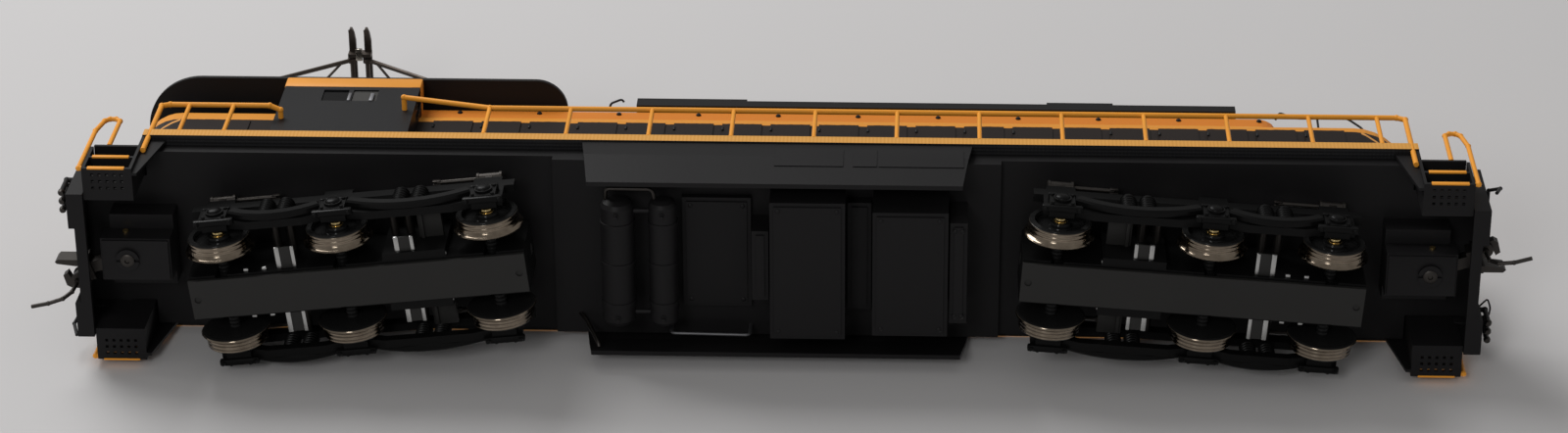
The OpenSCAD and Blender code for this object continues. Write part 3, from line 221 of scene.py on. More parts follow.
# %% [markdown]
# ## Two-tone paint, painted shade and a painted highlight
# The hoods are masked and sprayed: black below and a yellow band at the shoulder.
# Above the band, the raised sides get a darker, redder orange, which is painted
# shade, and the roof edge a lighter orange, which is a painted highlight. Separate
# meshes for each colour would leave seams, so the height on the piece picks the
# colour. Near both ends a thin stripe leaves the band and runs down to the walkway,
# and a little noise makes the masked edges slightly ragged.

# %% Thin stripe at the ends
BAND_LOW, BAND_HIGH, ROOF_EDGE = 41.7, 45.3, 48.5
BRANCH_FRONT, BRANCH_REAR, BRANCH_FALL, BRANCH_HALF_W = -105.3, 100.3, 0.93, 0.42


def branch_stripe(tree, x, height):
    front = math_node(tree, "SUBTRACT", BRANCH_FRONT, x)
    rear = math_node(tree, "SUBTRACT", x, BRANCH_REAR)
    past = math_node(tree, "MAXIMUM", front, rear)
    middle = math_node(tree, "MULTIPLY_ADD", past, -BRANCH_FALL, BAND_LOW)
    off = math_node(tree, "ABSOLUTE", math_node(tree, "SUBTRACT", height, middle))
    near = math_node(tree, "SUBTRACT", 1.0, step_at(tree, off, BRANCH_HALF_W, 0.06))
    return math_node(tree, "MULTIPLY", near, step_at(tree, past, 0.0, 0.05))


print("thin stripe from", BRANCH_FRONT, "and", BRANCH_REAR, "mm outwards")

# %% Hood paint
RAGGED, HALF_RAGGED = 0.3, 0.15
HOOD_BLACK, NOSE_ROOF = (0.019, 0.0135, 0.0115), (0.024, 0.021, 0.02)
BAND_YELLOW, STRIPE_YELLOW = (0.76, 0.31, 0.045), (0.70, 0.33, 0.09)
# The darker, redder orange on the raised sides is painted shade, and the lighter orange at the roof edge is a
# painted highlight.
RAISED_PAINTED_SHADE, ROOF_EDGE_PAINTED_HIGHLIGHT = (0.70, 0.225, 0.03), (0.82, 0.32, 0.045)


def hood_paint(name, raised, roof):
    mat, tree, shader = new_material(name)
    place = position_mm(tree)
    x, _, z = split_xyz(tree, place)
    wide = noise(tree, place, SHEEN_SCALE)
    height = math_node(tree, "MULTIPLY_ADD", noise(tree, place, 1.4, 2.0), RAGGED, z)
    colour = mix_colour(tree, branch_stripe(tree, x, height), HOOD_BLACK, STRIPE_YELLOW)
    # On the hood, the raised colour above the band is painted shade and the roof colour a painted highlight; the
    # nose takes its own dark roof colour for both.
    layers = ((BAND_LOW, 0.06, BAND_YELLOW), (BAND_HIGH, 0.1, raised), (ROOF_EDGE, 0.3, roof))
    for edge, soft, above in layers:
        colour = mix_colour(tree, step_at(tree, height, edge + HALF_RAGGED, soft), colour, above)
    put(tree, shader.inputs["Base Color"], colour)
    vary_roughness(tree, shader, wide, 0.34, 0.2)
    shader.inputs["Specular IOR Level"].default_value = 0.12
    bump(tree, shader, noise(tree, place, SKIN_SCALE, SKIN_DETAIL), 0.2, SKIN_DEPTH)
    return mat


# The hood gets painted shade on its raised sides and a painted highlight at the roof edge.
finishes["hood_paint"] = hood_paint("hood_paint", RAISED_PAINTED_SHADE, ROOF_EDGE_PAINTED_HIGHLIGHT)
finishes["nose_paint"] = hood_paint("nose_paint", NOSE_ROOF, NOSE_ROOF)
print("hood paint: band from", BAND_LOW, "to", BAND_HIGH, "mm")

# %% [markdown]
# ## Walkway
# The walkway is black with a pressed tread pattern, and only its outer edge is
# yellow. The pattern is too fine to model, so two crossed waves make it in bump,
# and the place across the model and the height pick the painted edge.

# %% Walkway finish
SILL_FACE, SILL_FOOT, TREAD_PITCH = 18.08, 19.68, 5.0
DECK_BLACK, SILL_COLOUR = (0.012, 0.012, 0.013), (0.70, 0.34, 0.07)


def sill_paint():
    mat, tree, shader = new_material("sill_yellow")
    place = position_mm(tree)
    x, y, z = split_xyz(tree, place)
    edge = step_at(tree, math_node(tree, "ABSOLUTE", y), SILL_FACE, 0.02)
    edge = math_node(tree, "MULTIPLY", edge, step_at(tree, z, SILL_FOOT, 0.03))
    wide = noise(tree, place, SHEEN_SCALE)
    put(tree, shader.inputs["Base Color"], mix_colour(tree, edge, DECK_BLACK, SILL_COLOUR))
    shader.inputs["Specular IOR Level"].default_value = 0.2
    vary_roughness(tree, shader, wide, 0.34, 0.2)
    waves = []
    for kind in ("ADD", "SUBTRACT"):
        slant = math_node(tree, kind, x, y)
        waves.append(math_node(tree, "SINE", math_node(tree, "MULTIPLY", slant, TREAD_PITCH)))
    bump(tree, shader, math_node(tree, "MULTIPLY", *waves), 0.35, 0.08)
    return mat


finishes["sill_yellow"] = sill_paint()
print("walkway edge from", SILL_FACE, "mm outwards")

# %% [markdown]
# ## Windows and lamps
# One window pane of each pair slides open. Its part of the sheet is near-black,
# which is painted shade of the cab behind it, while the other is a milky moulding.
# All panes share one node, so the place along the cab picks the tint. The lamp
# lenses use the same clear plastic with one pale tint.

# %% Window and lamp finishes
SASH_MIDDLE = -75.45
# The open pane's near-black colour is painted shade of the dark cab behind it.
PAINTED_CAB_SHADE, MILKY_PANE, LENS = (0.003, 0.003, 0.0035), (0.075, 0.073, 0.07), (0.9, 0.88, 0.8)


def clear_sheet(name, colour, milky, rough):
    mat, tree, shader = new_material(name)
    place = position_mm(tree)
    side = step_at(tree, split_xyz(tree, place)[0], SASH_MIDDLE, 0.1)
    put(tree, shader.inputs["Base Color"], mix_colour(tree, side, colour, milky))
    vary_roughness(tree, shader, noise(tree, place, 0.3), rough, 0.1)
    shader.inputs["Transmission Weight"].default_value = 0.2
    shader.inputs["Specular IOR Level"].default_value = 0.1
    shader.inputs["IOR"].default_value = 1.46
    return mat


# One side of the sash middle is painted shade of the cab, and the other the milky moulding.
finishes["window_glass"] = clear_sheet("window_glass", PAINTED_CAB_SHADE, MILKY_PANE, 0.12)
finishes["lamp_lens"] = clear_sheet("lamp_lens", LENS, LENS, 0.05)
print("panes split at", SASH_MIDDLE, "mm")

# %% [markdown]
# ## Wheels
# Each wheel is a black plastic centre in a turned nickel tyre, on a brass-coloured
# axle. The solid is one piece, so the finish measures the distance from the axle
# line: the joint that rolls the wheelset gives the line's place and direction.
# Turning leaves rings, which draw each highlight out along the axle.

# %% Distance from an axle
joints = {joint["name"]: joint for joint in frame["joints"]}


def axis_distance(tree, place, centre, axis):
    away = vector_node(tree, "SUBTRACT", place, centre).outputs[0]
    cross = vector_node(tree, "CROSS_PRODUCT", away, axis).outputs[0]
    radius = vector_node(tree, "LENGTH", cross).outputs["Value"]
    along = vector_node(tree, "DOT_PRODUCT", away, axis).outputs["Value"]
    return radius, along


print("joints in the frame:", len(joints))

# %% Wheel finishes
TYRE_R, BACK_FACE, FRONT_FACE, AXLE_R, STUB_START = 5.05, 7.4, 9.83, 1.12, 9.7
NICKEL_DARK, NICKEL_PALE = (0.15, 0.118, 0.088), (0.37, 0.308, 0.238)
WHEEL_BLACK, AXLE_BRASS = (0.012, 0.012, 0.012), (0.72, 0.55, 0.26)


def wheel_finish(name, joint):
    mat, tree, shader = new_material(name)
    place = position_mm(tree)
    centre = [v / MM for v in joint["pos_m"]]
    radius, along = axis_distance(tree, place, centre, joint["axis"])
    out = math_node(tree, "ABSOLUTE", along)
    past_back, past_front = (step_at(tree, out, face, 0.05) for face in (BACK_FACE, FRONT_FACE))
    rim = math_node(tree, "SUBTRACT", past_back, past_front)
    tyre = math_node(tree, "MULTIPLY", step_at(tree, radius, TYRE_R, 0.06), rim)
    thin = math_node(tree, "SUBTRACT", 1.0, step_at(tree, radius, AXLE_R, 0.04))
    axle = math_node(tree, "MULTIPLY", thin, step_at(tree, out, STUB_START, 0.05))
    rings = math_node(tree, "SINE", math_node(tree, "MULTIPLY", along, 9.0))
    grime = noise(tree, place, 0.7, 4.0)
    colour = mix_colour(tree, tyre, WHEEL_BLACK, mix_colour(tree, grime, NICKEL_DARK, NICKEL_PALE))
    put(tree, shader.inputs["Base Color"], mix_colour(tree, axle, colour, AXLE_BRASS))
    put(tree, shader.inputs["Metallic"], math_node(tree, "MAXIMUM", tyre, axle))
    vary_roughness(tree, shader, grime, 0.12, 0.1)
    lengthwise = tree.nodes.new("ShaderNodeVectorTransform")
    lengthwise.vector_type = "VECTOR"
    lengthwise.convert_from, lengthwise.convert_to = "OBJECT", "WORLD"
    lengthwise.inputs[0].default_value = joint["axis"]
    tree.links.new(lengthwise.outputs[0], shader.inputs["Tangent"])
    shader.inputs["Anisotropic"].default_value = 0.85
    shader.inputs["Specular IOR Level"].default_value = 0.12
    bump(tree, shader, rings, 0.4, 0.12)
    return mat


for name, joint in joints.items():
    if name.endswith("_roll"):
        wheel_node = name.replace("wheelset_roll", "wheels")
        finishes[wheel_node] = wheel_finish(wheel_node, joint)
print("wheel finishes:", [name for name in finishes if name.endswith("_wheels")])

# %% [markdown]
# ## Finishes on the CAD nodes
# Each node could be given its finish by hand. The record already names a material
# slot for each, so the finish of that slot is taken, apart from the wheels, the
# short hood and a few dark metal pieces with finishes of their own.

# %% Put the finishes on
own_finish = {"short_hood": "nose_paint", "end_levers": "frame_black", "coupler_screws": "frame_black",
              "front_rigging": "dark_steel", "rear_rigging": "dark_steel"}
for part in frame["record"]["subparts"]:
    node = part["node"]
    key = node if node in finishes else own_finish.get(node, part["material_slot"])
    mesh = nodes[node].data
    mesh.materials.clear()
    mesh.materials.append(finishes[key])

# %% [markdown]
# ## Helpers for small pieces
# The small pieces are built in millimetres and scaled to metres at the end.
# A block is a cube with its edges bevelled, a turned piece is a profile spun
# round an axis, a coil is a small circle spun while it climbs, and a bent wire
# is a curve with a round bevel. Fixed lists keep the order of the edges.

# %% Finish a piece
SIDES = (-1, 1)
CORNERS = [(sx, sy) for sx in SIDES for sy in SIDES]
SHARP_ANGLE = math.radians(40)


def span(node):
    low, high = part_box(node)
    return Vector(low) / MM, Vector(high) / MM


def place_piece(name, data, body, slot):
    data.materials.append(finishes[slot])
    piece = bpy.data.objects.new(name, data)
    bpy.context.scene.collection.objects.link(piece)
    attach(piece, body)
    return piece


def finish_piece(name, bm, body, slot, place=Matrix()):
    gaps = [e for e in bm.edges if e.is_boundary]
    if gaps:
        bmesh.ops.holes_fill(bm, edges=gaps, sides=0)
    bmesh.ops.recalc_face_normals(bm, faces=bm.faces)
    bmesh.ops.transform(bm, matrix=Matrix.Scale(MM, 4) @ place, verts=bm.verts)
    mesh = bpy.data.meshes.new(name)
    bm.to_mesh(mesh)
    bm.free()
    mesh.shade_smooth()
    mesh.set_sharp_from_angle(angle=SHARP_ANGLE)
    return place_piece(name, mesh, body, slot)


print("pieces join", len(finishes), "finishes to the frame's bodies")

# %% Blocks, turned pieces and coils
def add_block(bm, low, high, edge=0.12):
    verts = bmesh.ops.create_cube(bm, size=1.0)["verts"]
    size = [abs(b - a) for a, b in zip(low, high)]
    middle = Vector([(a + b) / 2 for a, b in zip(low, high)])
    shape = Matrix.Translation(middle) @ Matrix.Diagonal((*size, 1))
    bmesh.ops.transform(bm, matrix=shape, verts=verts)
    edges = list(dict.fromkeys(e for v in verts for e in v.link_edges))
    bmesh.ops.bevel(bm, geom=edges, offset=edge, affect="EDGES", segments=2, profile=0.5, material=-1)


def add_turned(bm, profile, foot, axis, steps=16, closed=False):
    foot, axis = Vector(foot), Vector(axis).normalized()
    side = axis.orthogonal().normalized()
    verts = [bm.verts.new(foot + side * r + axis * h) for r, h in profile]
    edges = [bm.edges.new(pair) for pair in zip(verts, verts[1:])]
    if closed:
        edges.append(bm.edges.new((verts[-1], verts[0])))
    bmesh.ops.spin(bm, geom=verts + edges, cent=foot, axis=axis, angle=2 * math.pi,
                   steps=steps, use_merge=True)
    bmesh.ops.remove_doubles(bm, verts=bm.verts, dist=0.0001)


def add_coil(bm, foot, axis, coil_r, wire_r, height, turns):
    foot, axis = Vector(foot), Vector(axis).normalized()
    side = axis.orthogonal().normalized()
    count = turns * 12
    ring = bmesh.ops.create_circle(bm, cap_ends=False, radius=wire_r, segments=6)["verts"]
    turn = Matrix((side, axis, side.cross(axis))).transposed().to_4x4()
    bmesh.ops.transform(bm, matrix=Matrix.Translation(foot + side * coil_r) @ turn, verts=ring)
    edges = list(dict.fromkeys(e for v in ring for e in v.link_edges))
    bmesh.ops.spin(bm, geom=ring + edges, cent=foot, dvec=axis * (height / count), axis=axis,
                   angle=2 * math.pi * turns, steps=count)


print("blocks, turned pieces and coils ready")

# %% Bent wires
def wire_piece(name, paths, radius, body, slot):
    curve = bpy.data.curves.new(name, "CURVE")
    curve.dimensions = "3D"
    curve.bevel_depth = radius * MM
    curve.bevel_resolution = 2
    curve.use_fill_caps = True
    for path in paths:
        line = curve.splines.new("POLY")
        line.points.add(len(path) - 1)
        for point, place_mm in zip(line.points, path):
            point.co = (*(Vector(place_mm) * MM), 1)
    return place_piece(name, curve, body, slot)


def bent(points, radius=0.8, steps=4):
    path = [Vector(points[0])]
    for a, b, c in zip(points, points[1:], points[2:]):
        a, b, c = Vector(a), Vector(b), Vector(c)
        start = b + (a - b).normalized() * min(radius, (a - b).length / 2)
        end = b + (c - b).normalized() * min(radius, (c - b).length / 2)
        for i in range(steps + 1):
            t = i / steps
            path.append(start.lerp(b, t).lerp(b.lerp(end, t), t))
    return path + [Vector(points[-1])]


print("wire helpers ready")

# %% [markdown]
# ## Step nosings
# On the real locomotive the edge of a step is painted bright, so that nobody
# misses it in the dark. Paint alone would vanish from the side, so each nosing is
# a thin bevelled lip that stands on the edge of a tread, on the two lower treads
# of each corner.

# %% Step nosings
TREAD_X, TREAD_Z, LIP_Y = (108.2, 114.4), (6.6, 11.0), (17.8, 18.12)
LIP_BELOW, LIP_ABOVE, LIP_ROUND = 0.15, 0.65, 0.08
bm = bmesh.new()
for sx, sy in CORNERS:
    for z in TREAD_Z:
        inner = (sx * TREAD_X[0], sy * LIP_Y[0], z - LIP_BELOW)
        outer = (sx * TREAD_X[1], sy * LIP_Y[1], z + LIP_ABOVE)
        add_block(bm, inner, outer, LIP_ROUND)
nosings = finish_piece("step_nosings", bm, "chassis", "rail_yellow")
print("step nosings:", len(nosings.data.polygons), "faces")

# %% [markdown]
# ## Skirt hatches
# Fuel, sand and battery hatches show as thin plates on the side skirts. A flat
# block would stand off where the skirt leans in, so a strip of two faces follows
# the bend, and solidify gives it a thickness.

# %% Skirt hatches
HATCHES = ((-0.2, 11.3), (12.9, 16.9), (17.2, 31.4))
HATCH_LINE, HATCH_T = ((17.97, 17.4), (17.97, 14.74), (17.4, 12.0)), 0.2
bm = bmesh.new()
for side in SIDES:
    for x0, x1 in HATCHES:
        rows = [[bm.verts.new((x, side * y, z)) for x in (x0, x1)] for y, z in HATCH_LINE]
        for upper, lower in zip(rows, rows[1:]):
            bm.faces.new((upper[0], upper[1], lower[1], lower[0]))
bmesh.ops.recalc_face_normals(bm, faces=bm.faces)
bmesh.ops.solidify(bm, geom=list(bm.faces), thickness=HATCH_T)
finish_piece("skirt_hatches", bm, "chassis", "frame_black")
print("skirt hatches:", len(HATCHES) * 2)

# %% [markdown]
# ## Air tanks and pipes
# Straps hold the tanks, a drain cock sits under each end, and thin pipes lead the
# air on. The straps are closed rings spun round the tank's axis, because a plain
# cylinder would have sharp rims. The pipes are bent wires with rounded corners.

# %% Tank straps and cocks
TANKS = ((-26.5, 2.8), (-18.85, 2.4))
TANK_Z, STRAP_YS, COCK_YS = 10.5, (-7.4, 0.0, 7.4), (-9.6, 9.6)
STRAP_SINK, STRAP_RISE, STRAP_FOOT, STRAP_TOP = 0.06, 0.16, 0.45, 0.4
COCK = [(0, 0.75), (0.3, 0.75), (0.34, 0.3), (0.5, 0.25), (0.5, -0.3)]
bm = bmesh.new()
for x, r in TANKS:
    foot, top = r - STRAP_SINK, r + STRAP_RISE
    strap = [(foot, -STRAP_FOOT), (top, -STRAP_TOP), (top, STRAP_TOP), (foot, STRAP_FOOT)]
    for y in STRAP_YS:
        add_turned(bm, strap, (x, y, TANK_Z), (0, 1, 0), 32, True)
    for y in COCK_YS:
        add_turned(bm, COCK, (x, y, TANK_Z - r), (0, 0, -1), 10)
finish_piece("tank_straps", bm, "chassis", "frame_black")
print("tank straps:", len(STRAP_YS) * len(TANKS))

# %% Pipes
NEAR_PIPE = [(-28.4, -10.6, 11.0), (-28.4, -13.5, 10.5), (-20.6, -13.5, 10.5), (-20.0, -10.8, 10.6)]
FAR_PIPE = [(-17.9, 14.4, 16.0), (-17.9, 14.4, 12.0), (-4.5, 14.4, 11.6), (-4.5, 14.4, 16.0)]
FAR_BRACE = [(-34.0, 12.6, 16.4), (-32.6, 13.0, 14.3), (-30.2, 14.9, 9.4), (-30.0, 15.6, 9.0)]
wire_piece("tank_pipe", [bent(NEAR_PIPE), bent(FAR_BRACE)], 0.38, "chassis", "dark_steel")
wire_piece("brake_pipe", [bent(FAR_PIPE)], 0.3, "chassis", "lead")
print("pipes: 3")

# %% [markdown]
# ## Lids under the floor
# The boxes hang from the floor and are closed by screwed lids. A screw head is a
# flat dome turned round an upright axis, which catches the light where a drawn
# circle would not.

# %% Lid screws
LIDS = ((5.45, 12.6, 25.4, 7.0), (22.65, 12.6, 23.0, 6.2),
        (-10.05, 11.6, 20.4, 14.0), (30.7, 2.9, 18.7, 7.0))
SCREW_IN, SCREW_LEAST = 1.4, 0.6
SCREW_HEAD = [(0, 0.2), (0.24, 0.2), (0.4, 0.08), (0.42, -0.1)]
bm = bmesh.new()
for x, length, width, z in LIDS:
    out_x, out_y = max(length / 2 - SCREW_IN, SCREW_LEAST), width / 2 - SCREW_IN
    for sx, sy in CORNERS:
        add_turned(bm, SCREW_HEAD, (x + sx * out_x, sy * out_y, z), (0, 0, -1), 12)
finish_piece("lid_screws", bm, "chassis", "frame_black")
print("lid screws:", 4 * len(LIDS))

# %% [markdown]
# ## Coupler pockets
# A pressed cover closes each coupler pocket, held by one bolt on the coupler's
# pivot. A rim could be modelled from bars. Here the cover is a cube whose underside
# is pushed in a little, and small fillers and pins finish the corners round it.

# %% Coupler covers
COVER_IN, COVER_W, COVER_T, COVER_DROP, COVER_RIM, COVER_DISH = 0.3, 7.2, 0.5, 0.1, 0.6, 0.2
box_low = span("coupler_boxes")[0]
pocket_xs = [abs(v.co.x) / MM for v in nodes["coupler_boxes"].data.vertices]
bm = bmesh.new()
for sx in SIDES:
    a, b = sorted((sx * (min(pocket_xs) + COVER_IN), sx * (max(pocket_xs) - COVER_IN)))
    cover = bmesh.ops.create_cube(bm, size=1.0)["verts"]
    centre = Matrix.Translation(((a + b) / 2, 0, box_low.z - COVER_DROP))
    bmesh.ops.transform(bm, matrix=centre @ Matrix.Diagonal((b - a, COVER_W, COVER_T, 1)), verts=cover)
    under = min((f for v in cover for f in v.link_faces), key=lambda f: f.calc_center_median().z)
    bmesh.ops.inset_region(bm, faces=[under], thickness=COVER_RIM)
    bmesh.ops.translate(bm, vec=(0, 0, COVER_DISH), verts=under.verts)
finish_piece("coupler_covers", bm, "chassis", "frame_black")
print("coupler covers from", round(min(pocket_xs), 1), "to", round(max(pocket_xs), 1), "mm")

# %% Coupler bolts, corner fillers and pocket pins
COUPLER_X, BOLT_DROP = 109.3, 0.6
COUPLER_BOLT = [(0.35, 0.05), (0.45, 0.28), (0.95, 0.26), (1.2, 0.1), (1.25, -0.2)]
FILLER_LOW, FILLER_HIGH = (114.8, 12.0, 15.0), (117.4, 12.6, 19.5)
PIN_PLACES = ((-109.9, -3.9, 11.5), (109.7, -3.9, 11.0))
PIN = [(0, 0.3), (0.35, 0.26), (0.5, 0.1), (0.5, -0.3)]
bm = bmesh.new()
for sx in SIDES:
    add_turned(bm, COUPLER_BOLT, (sx * COUPLER_X, 0, box_low.z - BOLT_DROP), (0, 0, -1), 16)
finish_piece("coupler_bolts", bm, "chassis", "dark_steel")
bm = bmesh.new()
for sx, sy in CORNERS:
    low, high = ((sx * x, sy * y, z) for x, y, z in (FILLER_LOW, FILLER_HIGH))
    add_block(bm, low, high, 0.1)
finish_piece("corner_fillers", bm, "chassis", "frame_black")
bm = bmesh.new()
for x, y, z in PIN_PLACES:
    for side in SIDES:
        add_turned(bm, PIN, (x, y * -side, z), (0, -side, 0), 12)
finish_piece("pocket_pins", bm, "chassis", "brass")
print("bolts, fillers and pins at both ends")

# %% [markdown]
# ## Dressing the trucks
# Each truck swivels, so its pieces can't be placed once for the whole model. They
# are built round the truck's pivot and laid into place by a matrix that the
# wheelset joints give, so both trucks share one set of numbers.

# %% Truck frame of reference
AXLE_Z, FRAME_FACE, BOX_FACE = 5.89, 12.8, 13.8


def wheelset_at(end, which):
    return Vector(joints[f"{end}_{which}_wheelset_roll"]["pos_m"])


def truck_place(end):
    pivot = Vector(joints[end + "_truck_swivel"]["pos_m"]) / MM
    ahead = (wheelset_at(end, "inner") - wheelset_at(end, "outer")).normalized()
    up = Vector((0, 0, 1))
    turn = Matrix((ahead, up.cross(ahead), up)).transposed().to_4x4()
    return Matrix.Translation((pivot.x, pivot.y, 0)) @ turn


ends = {end: truck_place(end) for end in ("front", "rear")}
to_truck = ends["front"].inverted()
axles = [(to_truck @ (wheelset_at("front", which) / MM)).x for which in ("outer", "middle", "inner")]
print("axles from the pivot:", [round(x, 2) for x in axles])

# %% [markdown]
# ## Equaliser beams
# A three-axle truck shares its weight among the axles through curved beams between
# the journal boxes. A bent block would show its corners, so each beam is a small
# eight-sided section, spun through part of a circle.

# %% Equaliser beams
BOW_CUT, BOW_STEPS, BOW_IN = 0.3, 18, 2.2
BOW_LOW_Z, BOW_DEEP, BOW_THICK, BOW_SAGS = 3.3, 1.9, 1.4, (2.4, 2.7)


def add_bow(bm, x0, x1, y, sag):
    half = (x1 - x0) / 2
    big_r = (half * half + sag * sag) / (2 * sag)
    reach = math.asin(half / big_r)
    cut, deep, thick = BOW_CUT, BOW_DEEP, BOW_THICK
    section = [(0, cut), (cut, 0), (deep - cut, 0), (deep, cut), (deep, thick - cut), (deep - cut, thick),
               (cut, thick), (0, thick - cut)]
    centre = Vector(((x0 + x1) / 2, y, BOW_LOW_Z + big_r))
    verts = []
    for r, t in section:
        arm = big_r - r
        start = Vector((-arm * math.sin(reach), math.copysign(t, y), -arm * math.cos(reach)))
        verts.append(bm.verts.new(centre + start))
    edges = [bm.edges.new((a, b)) for a, b in zip(verts, verts[1:] + verts[:1])]
    bmesh.ops.spin(bm, geom=verts + edges, cent=centre, axis=(0, -1, 0), angle=2 * reach, steps=BOW_STEPS)


for end, place in ends.items():
    bm = bmesh.new()
    for side in SIDES:
        for a, b, sag in zip(axles, axles[1:], BOW_SAGS):
            add_bow(bm, a + BOW_IN, b - BOW_IN, side * (FRAME_FACE - 0.1), sag)
    finish_piece(end + "_equalisers", bm, end + "_truck", "truck_black", place)
print("equaliser beams:", 4 * len(ends))

# %% [markdown]
# ## Truck springs
# Pairs of coil springs stand between the axles. The CAD solid has plain posts
# there, and a small circle that climbs as it spins winds the wire round them.

# %% Truck springs
SPRING_SHIFT, SPRING_FOOT, SPRING_R, SPRING_WIRE, SPRING_H, SPRING_TURNS = 1.6, 5.3, 1.24, 0.2, 4.2, 5


def truck_springs():
    bm = bmesh.new()
    for side in SIDES:
        for a, b in zip(axles, axles[1:]):
            for shift in (-SPRING_SHIFT, SPRING_SHIFT):
                foot = ((a + b) / 2 + shift, side * FRAME_FACE, SPRING_FOOT)
                add_coil(bm, foot, (0, 0, 1), SPRING_R, SPRING_WIRE, SPRING_H, SPRING_TURNS)
    return bm


print("springs of", SPRING_TURNS, "turns,", SPRING_H, "mm high")

# %% [markdown]
# ## Journal lids and pedestal caps
# A bolted lid closes each journal box, and a cap ties the pedestal together under
# it. Both are small, so the lid is a turned dome and the cap a bevelled block.

# %% Journal lids and pedestal caps
LID = [(0, 0.42), (0.7, 0.4), (1.05, 0.26), (1.25, 0), (1.25, -0.3)]
LID_BOLT, BOLT_DX, BOLT_DZ = [(0, 0.3), (0.26, 0.3), (0.34, 0.2), (0.34, -0.2)], 1.65, 1.55
BROW_HALF_L, CAP_HALF_L, CAP_Z, CAP_H = 2.3, 3.4, 3.4, 1.1
NUT, NUT_DX = [(0, 0.35), (0.3, 0.35), (0.45, 0.2), (0.45, -0.2)], 2.8


def add_journal(bm, x, side):
    add_turned(bm, LID, (x, side * (BOX_FACE + 0.4), AXLE_Z + 0.2), (0, side, 0), 20)
    for sx, sz in CORNERS:
        bolt = (x + sx * BOLT_DX, side * BOX_FACE, AXLE_Z + sz * BOLT_DZ)
        add_turned(bm, LID_BOLT, bolt, (0, side, 0), 6)
    brow_low = (x - BROW_HALF_L, side * (BOX_FACE - 1.5), AXLE_Z + 1.7)
    add_block(bm, brow_low, (x + BROW_HALF_L, side * (BOX_FACE + 0.15), AXLE_Z + 2.3))
    cap_low = (x - CAP_HALF_L, side * 12.5, CAP_Z)
    add_block(bm, cap_low, (x + CAP_HALF_L, side * 13.7, CAP_Z + CAP_H), 0.3)
    for dx in (-NUT_DX, NUT_DX):
        add_turned(bm, NUT, (x + dx, side * 13.1, CAP_Z), (0, 0, -1), 6)


for end, place in ends.items():
    finish_piece(end + "_springs", truck_springs(), end + "_truck", "truck_black", place)
    bm = bmesh.new()
    for side in SIDES:
        for x in axles:
            add_journal(bm, x, side)
    finish_piece(end + "_journal_lids", bm, end + "_truck", "truck_black", place)
print("springs:", 8 * len(ends), "journal lids:", 6 * len(ends))

# %% [markdown]
# ## Brake gear
# Brake cylinders lie above the frames, with flanged ends and forked rod ends. The
# flanges are turned round the cylinder's own axis. A fork could be cut from one
# block, but two thin blocks side by side leave the same slot with less work.

# %% Brake fittings
BRAKE_Y, BRAKE_Z, CYLINDER_HALF_L, ROD_L = 12.1, 14.2, 2, 9
FLANGE = [(0, 0.25), (0.8, 0.25), (1.05, 0.12), (1.05, -0.25), (0.8, -0.3)]
FORK_HALF_L, FORK_HALF_T, FORK_HALF_H, FORK_GAP = 0.7, 0.14, 0.4, 0.3


def brake_fittings():
    bm = bmesh.new()
    for side in SIDES:
        for x, way in ((axles[0], 1), (axles[2], -1)):
            for dx in (-CYLINDER_HALF_L, CYLINDER_HALF_L):
                add_turned(bm, FLANGE, (x + dx, side * BRAKE_Y, BRAKE_Z), (dx, 0, 0), 16)
            fork = x + way * ROD_L
            for dy in (-FORK_GAP, FORK_GAP):
                y = side * BRAKE_Y + dy
                low = (fork - FORK_HALF_L, y - FORK_HALF_T, BRAKE_Z - FORK_HALF_H)
                add_block(bm, low, (fork + FORK_HALF_L, y + FORK_HALF_T, BRAKE_Z + FORK_HALF_H), 0.08)
    return bm


print("brake rods reach", ROD_L, "mm from the outer and inner axles")

# %% [markdown]
# ## Current pick-up
# Bright strips and clips beside the gear cover carry the current from the wheels
# to the motor, and dark plates join the frames. All are thin sheet, so bevelled
# blocks are enough: the bevel gives the bright edge that sheet metal shows.

# %% Pick-up strips and cross plates
CLIP_XS = (-28.6, -25.5, 1.7, 5.0)
STRIPS = ((-22.9, 0.44), (-20.3, 0.34), (-2.7, 0.44), (-0.1, 0.34))
PLATE_XS, COVER_EDGE, STRIP_LOW = (-21.6, -1.4), 3.9, 2.9


def pickup_strips():
    bm = bmesh.new()
    for side in SIDES:
        for x in CLIP_XS:
            add_block(bm, (x - 0.4, side * COVER_EDGE, STRIP_LOW), (x + 0.4, side * 4.6, 3.4), 0.1)
        for x, half_w in STRIPS:
            add_block(bm, (x - half_w, side * COVER_EDGE, STRIP_LOW), (x + half_w, side * 8.0, 3.5), 0.2)
    return bm


def cross_plates():
    bm = bmesh.new()
    for side in SIDES:
        add_block(bm, (0.5, side * 4.1, 7.8), (4.6, side * 11.3, 9.0), 0.15)
        add_block(bm, (0.9, side * 4.1, 7.3), (1.5, side * 11.0, 7.9), 0.12)
        for x in PLATE_XS:
            add_block(bm, (x - 1.05, side * COVER_EDGE, 3.05), (x + 1.0, side * 7.9, 3.45), 0.1)
    return bm


for end, place in ends.items():
    finish_piece(end + "_brake_fittings", brake_fittings(), end + "_truck", "dark_steel", place)
    finish_piece(end + "_pickup_strips", pickup_strips(), end + "_truck", "bright_steel", place)
    finish_piece(end + "_cross_plates", cross_plates(), end + "_truck", "cover_grey", place)
print("strips:", 2 * len(STRIPS), "and clips:", 2 * len(CLIP_XS), "on each truck")

# %% [markdown]
# ## Ends of the locomotive
# Air hoses end in couplings, a bent wire lifts the coupler's pin, and rivets hold
# the end sheets. The couplings and rivets are turned and repeated, and the lever
# is a wire with rounded corners.

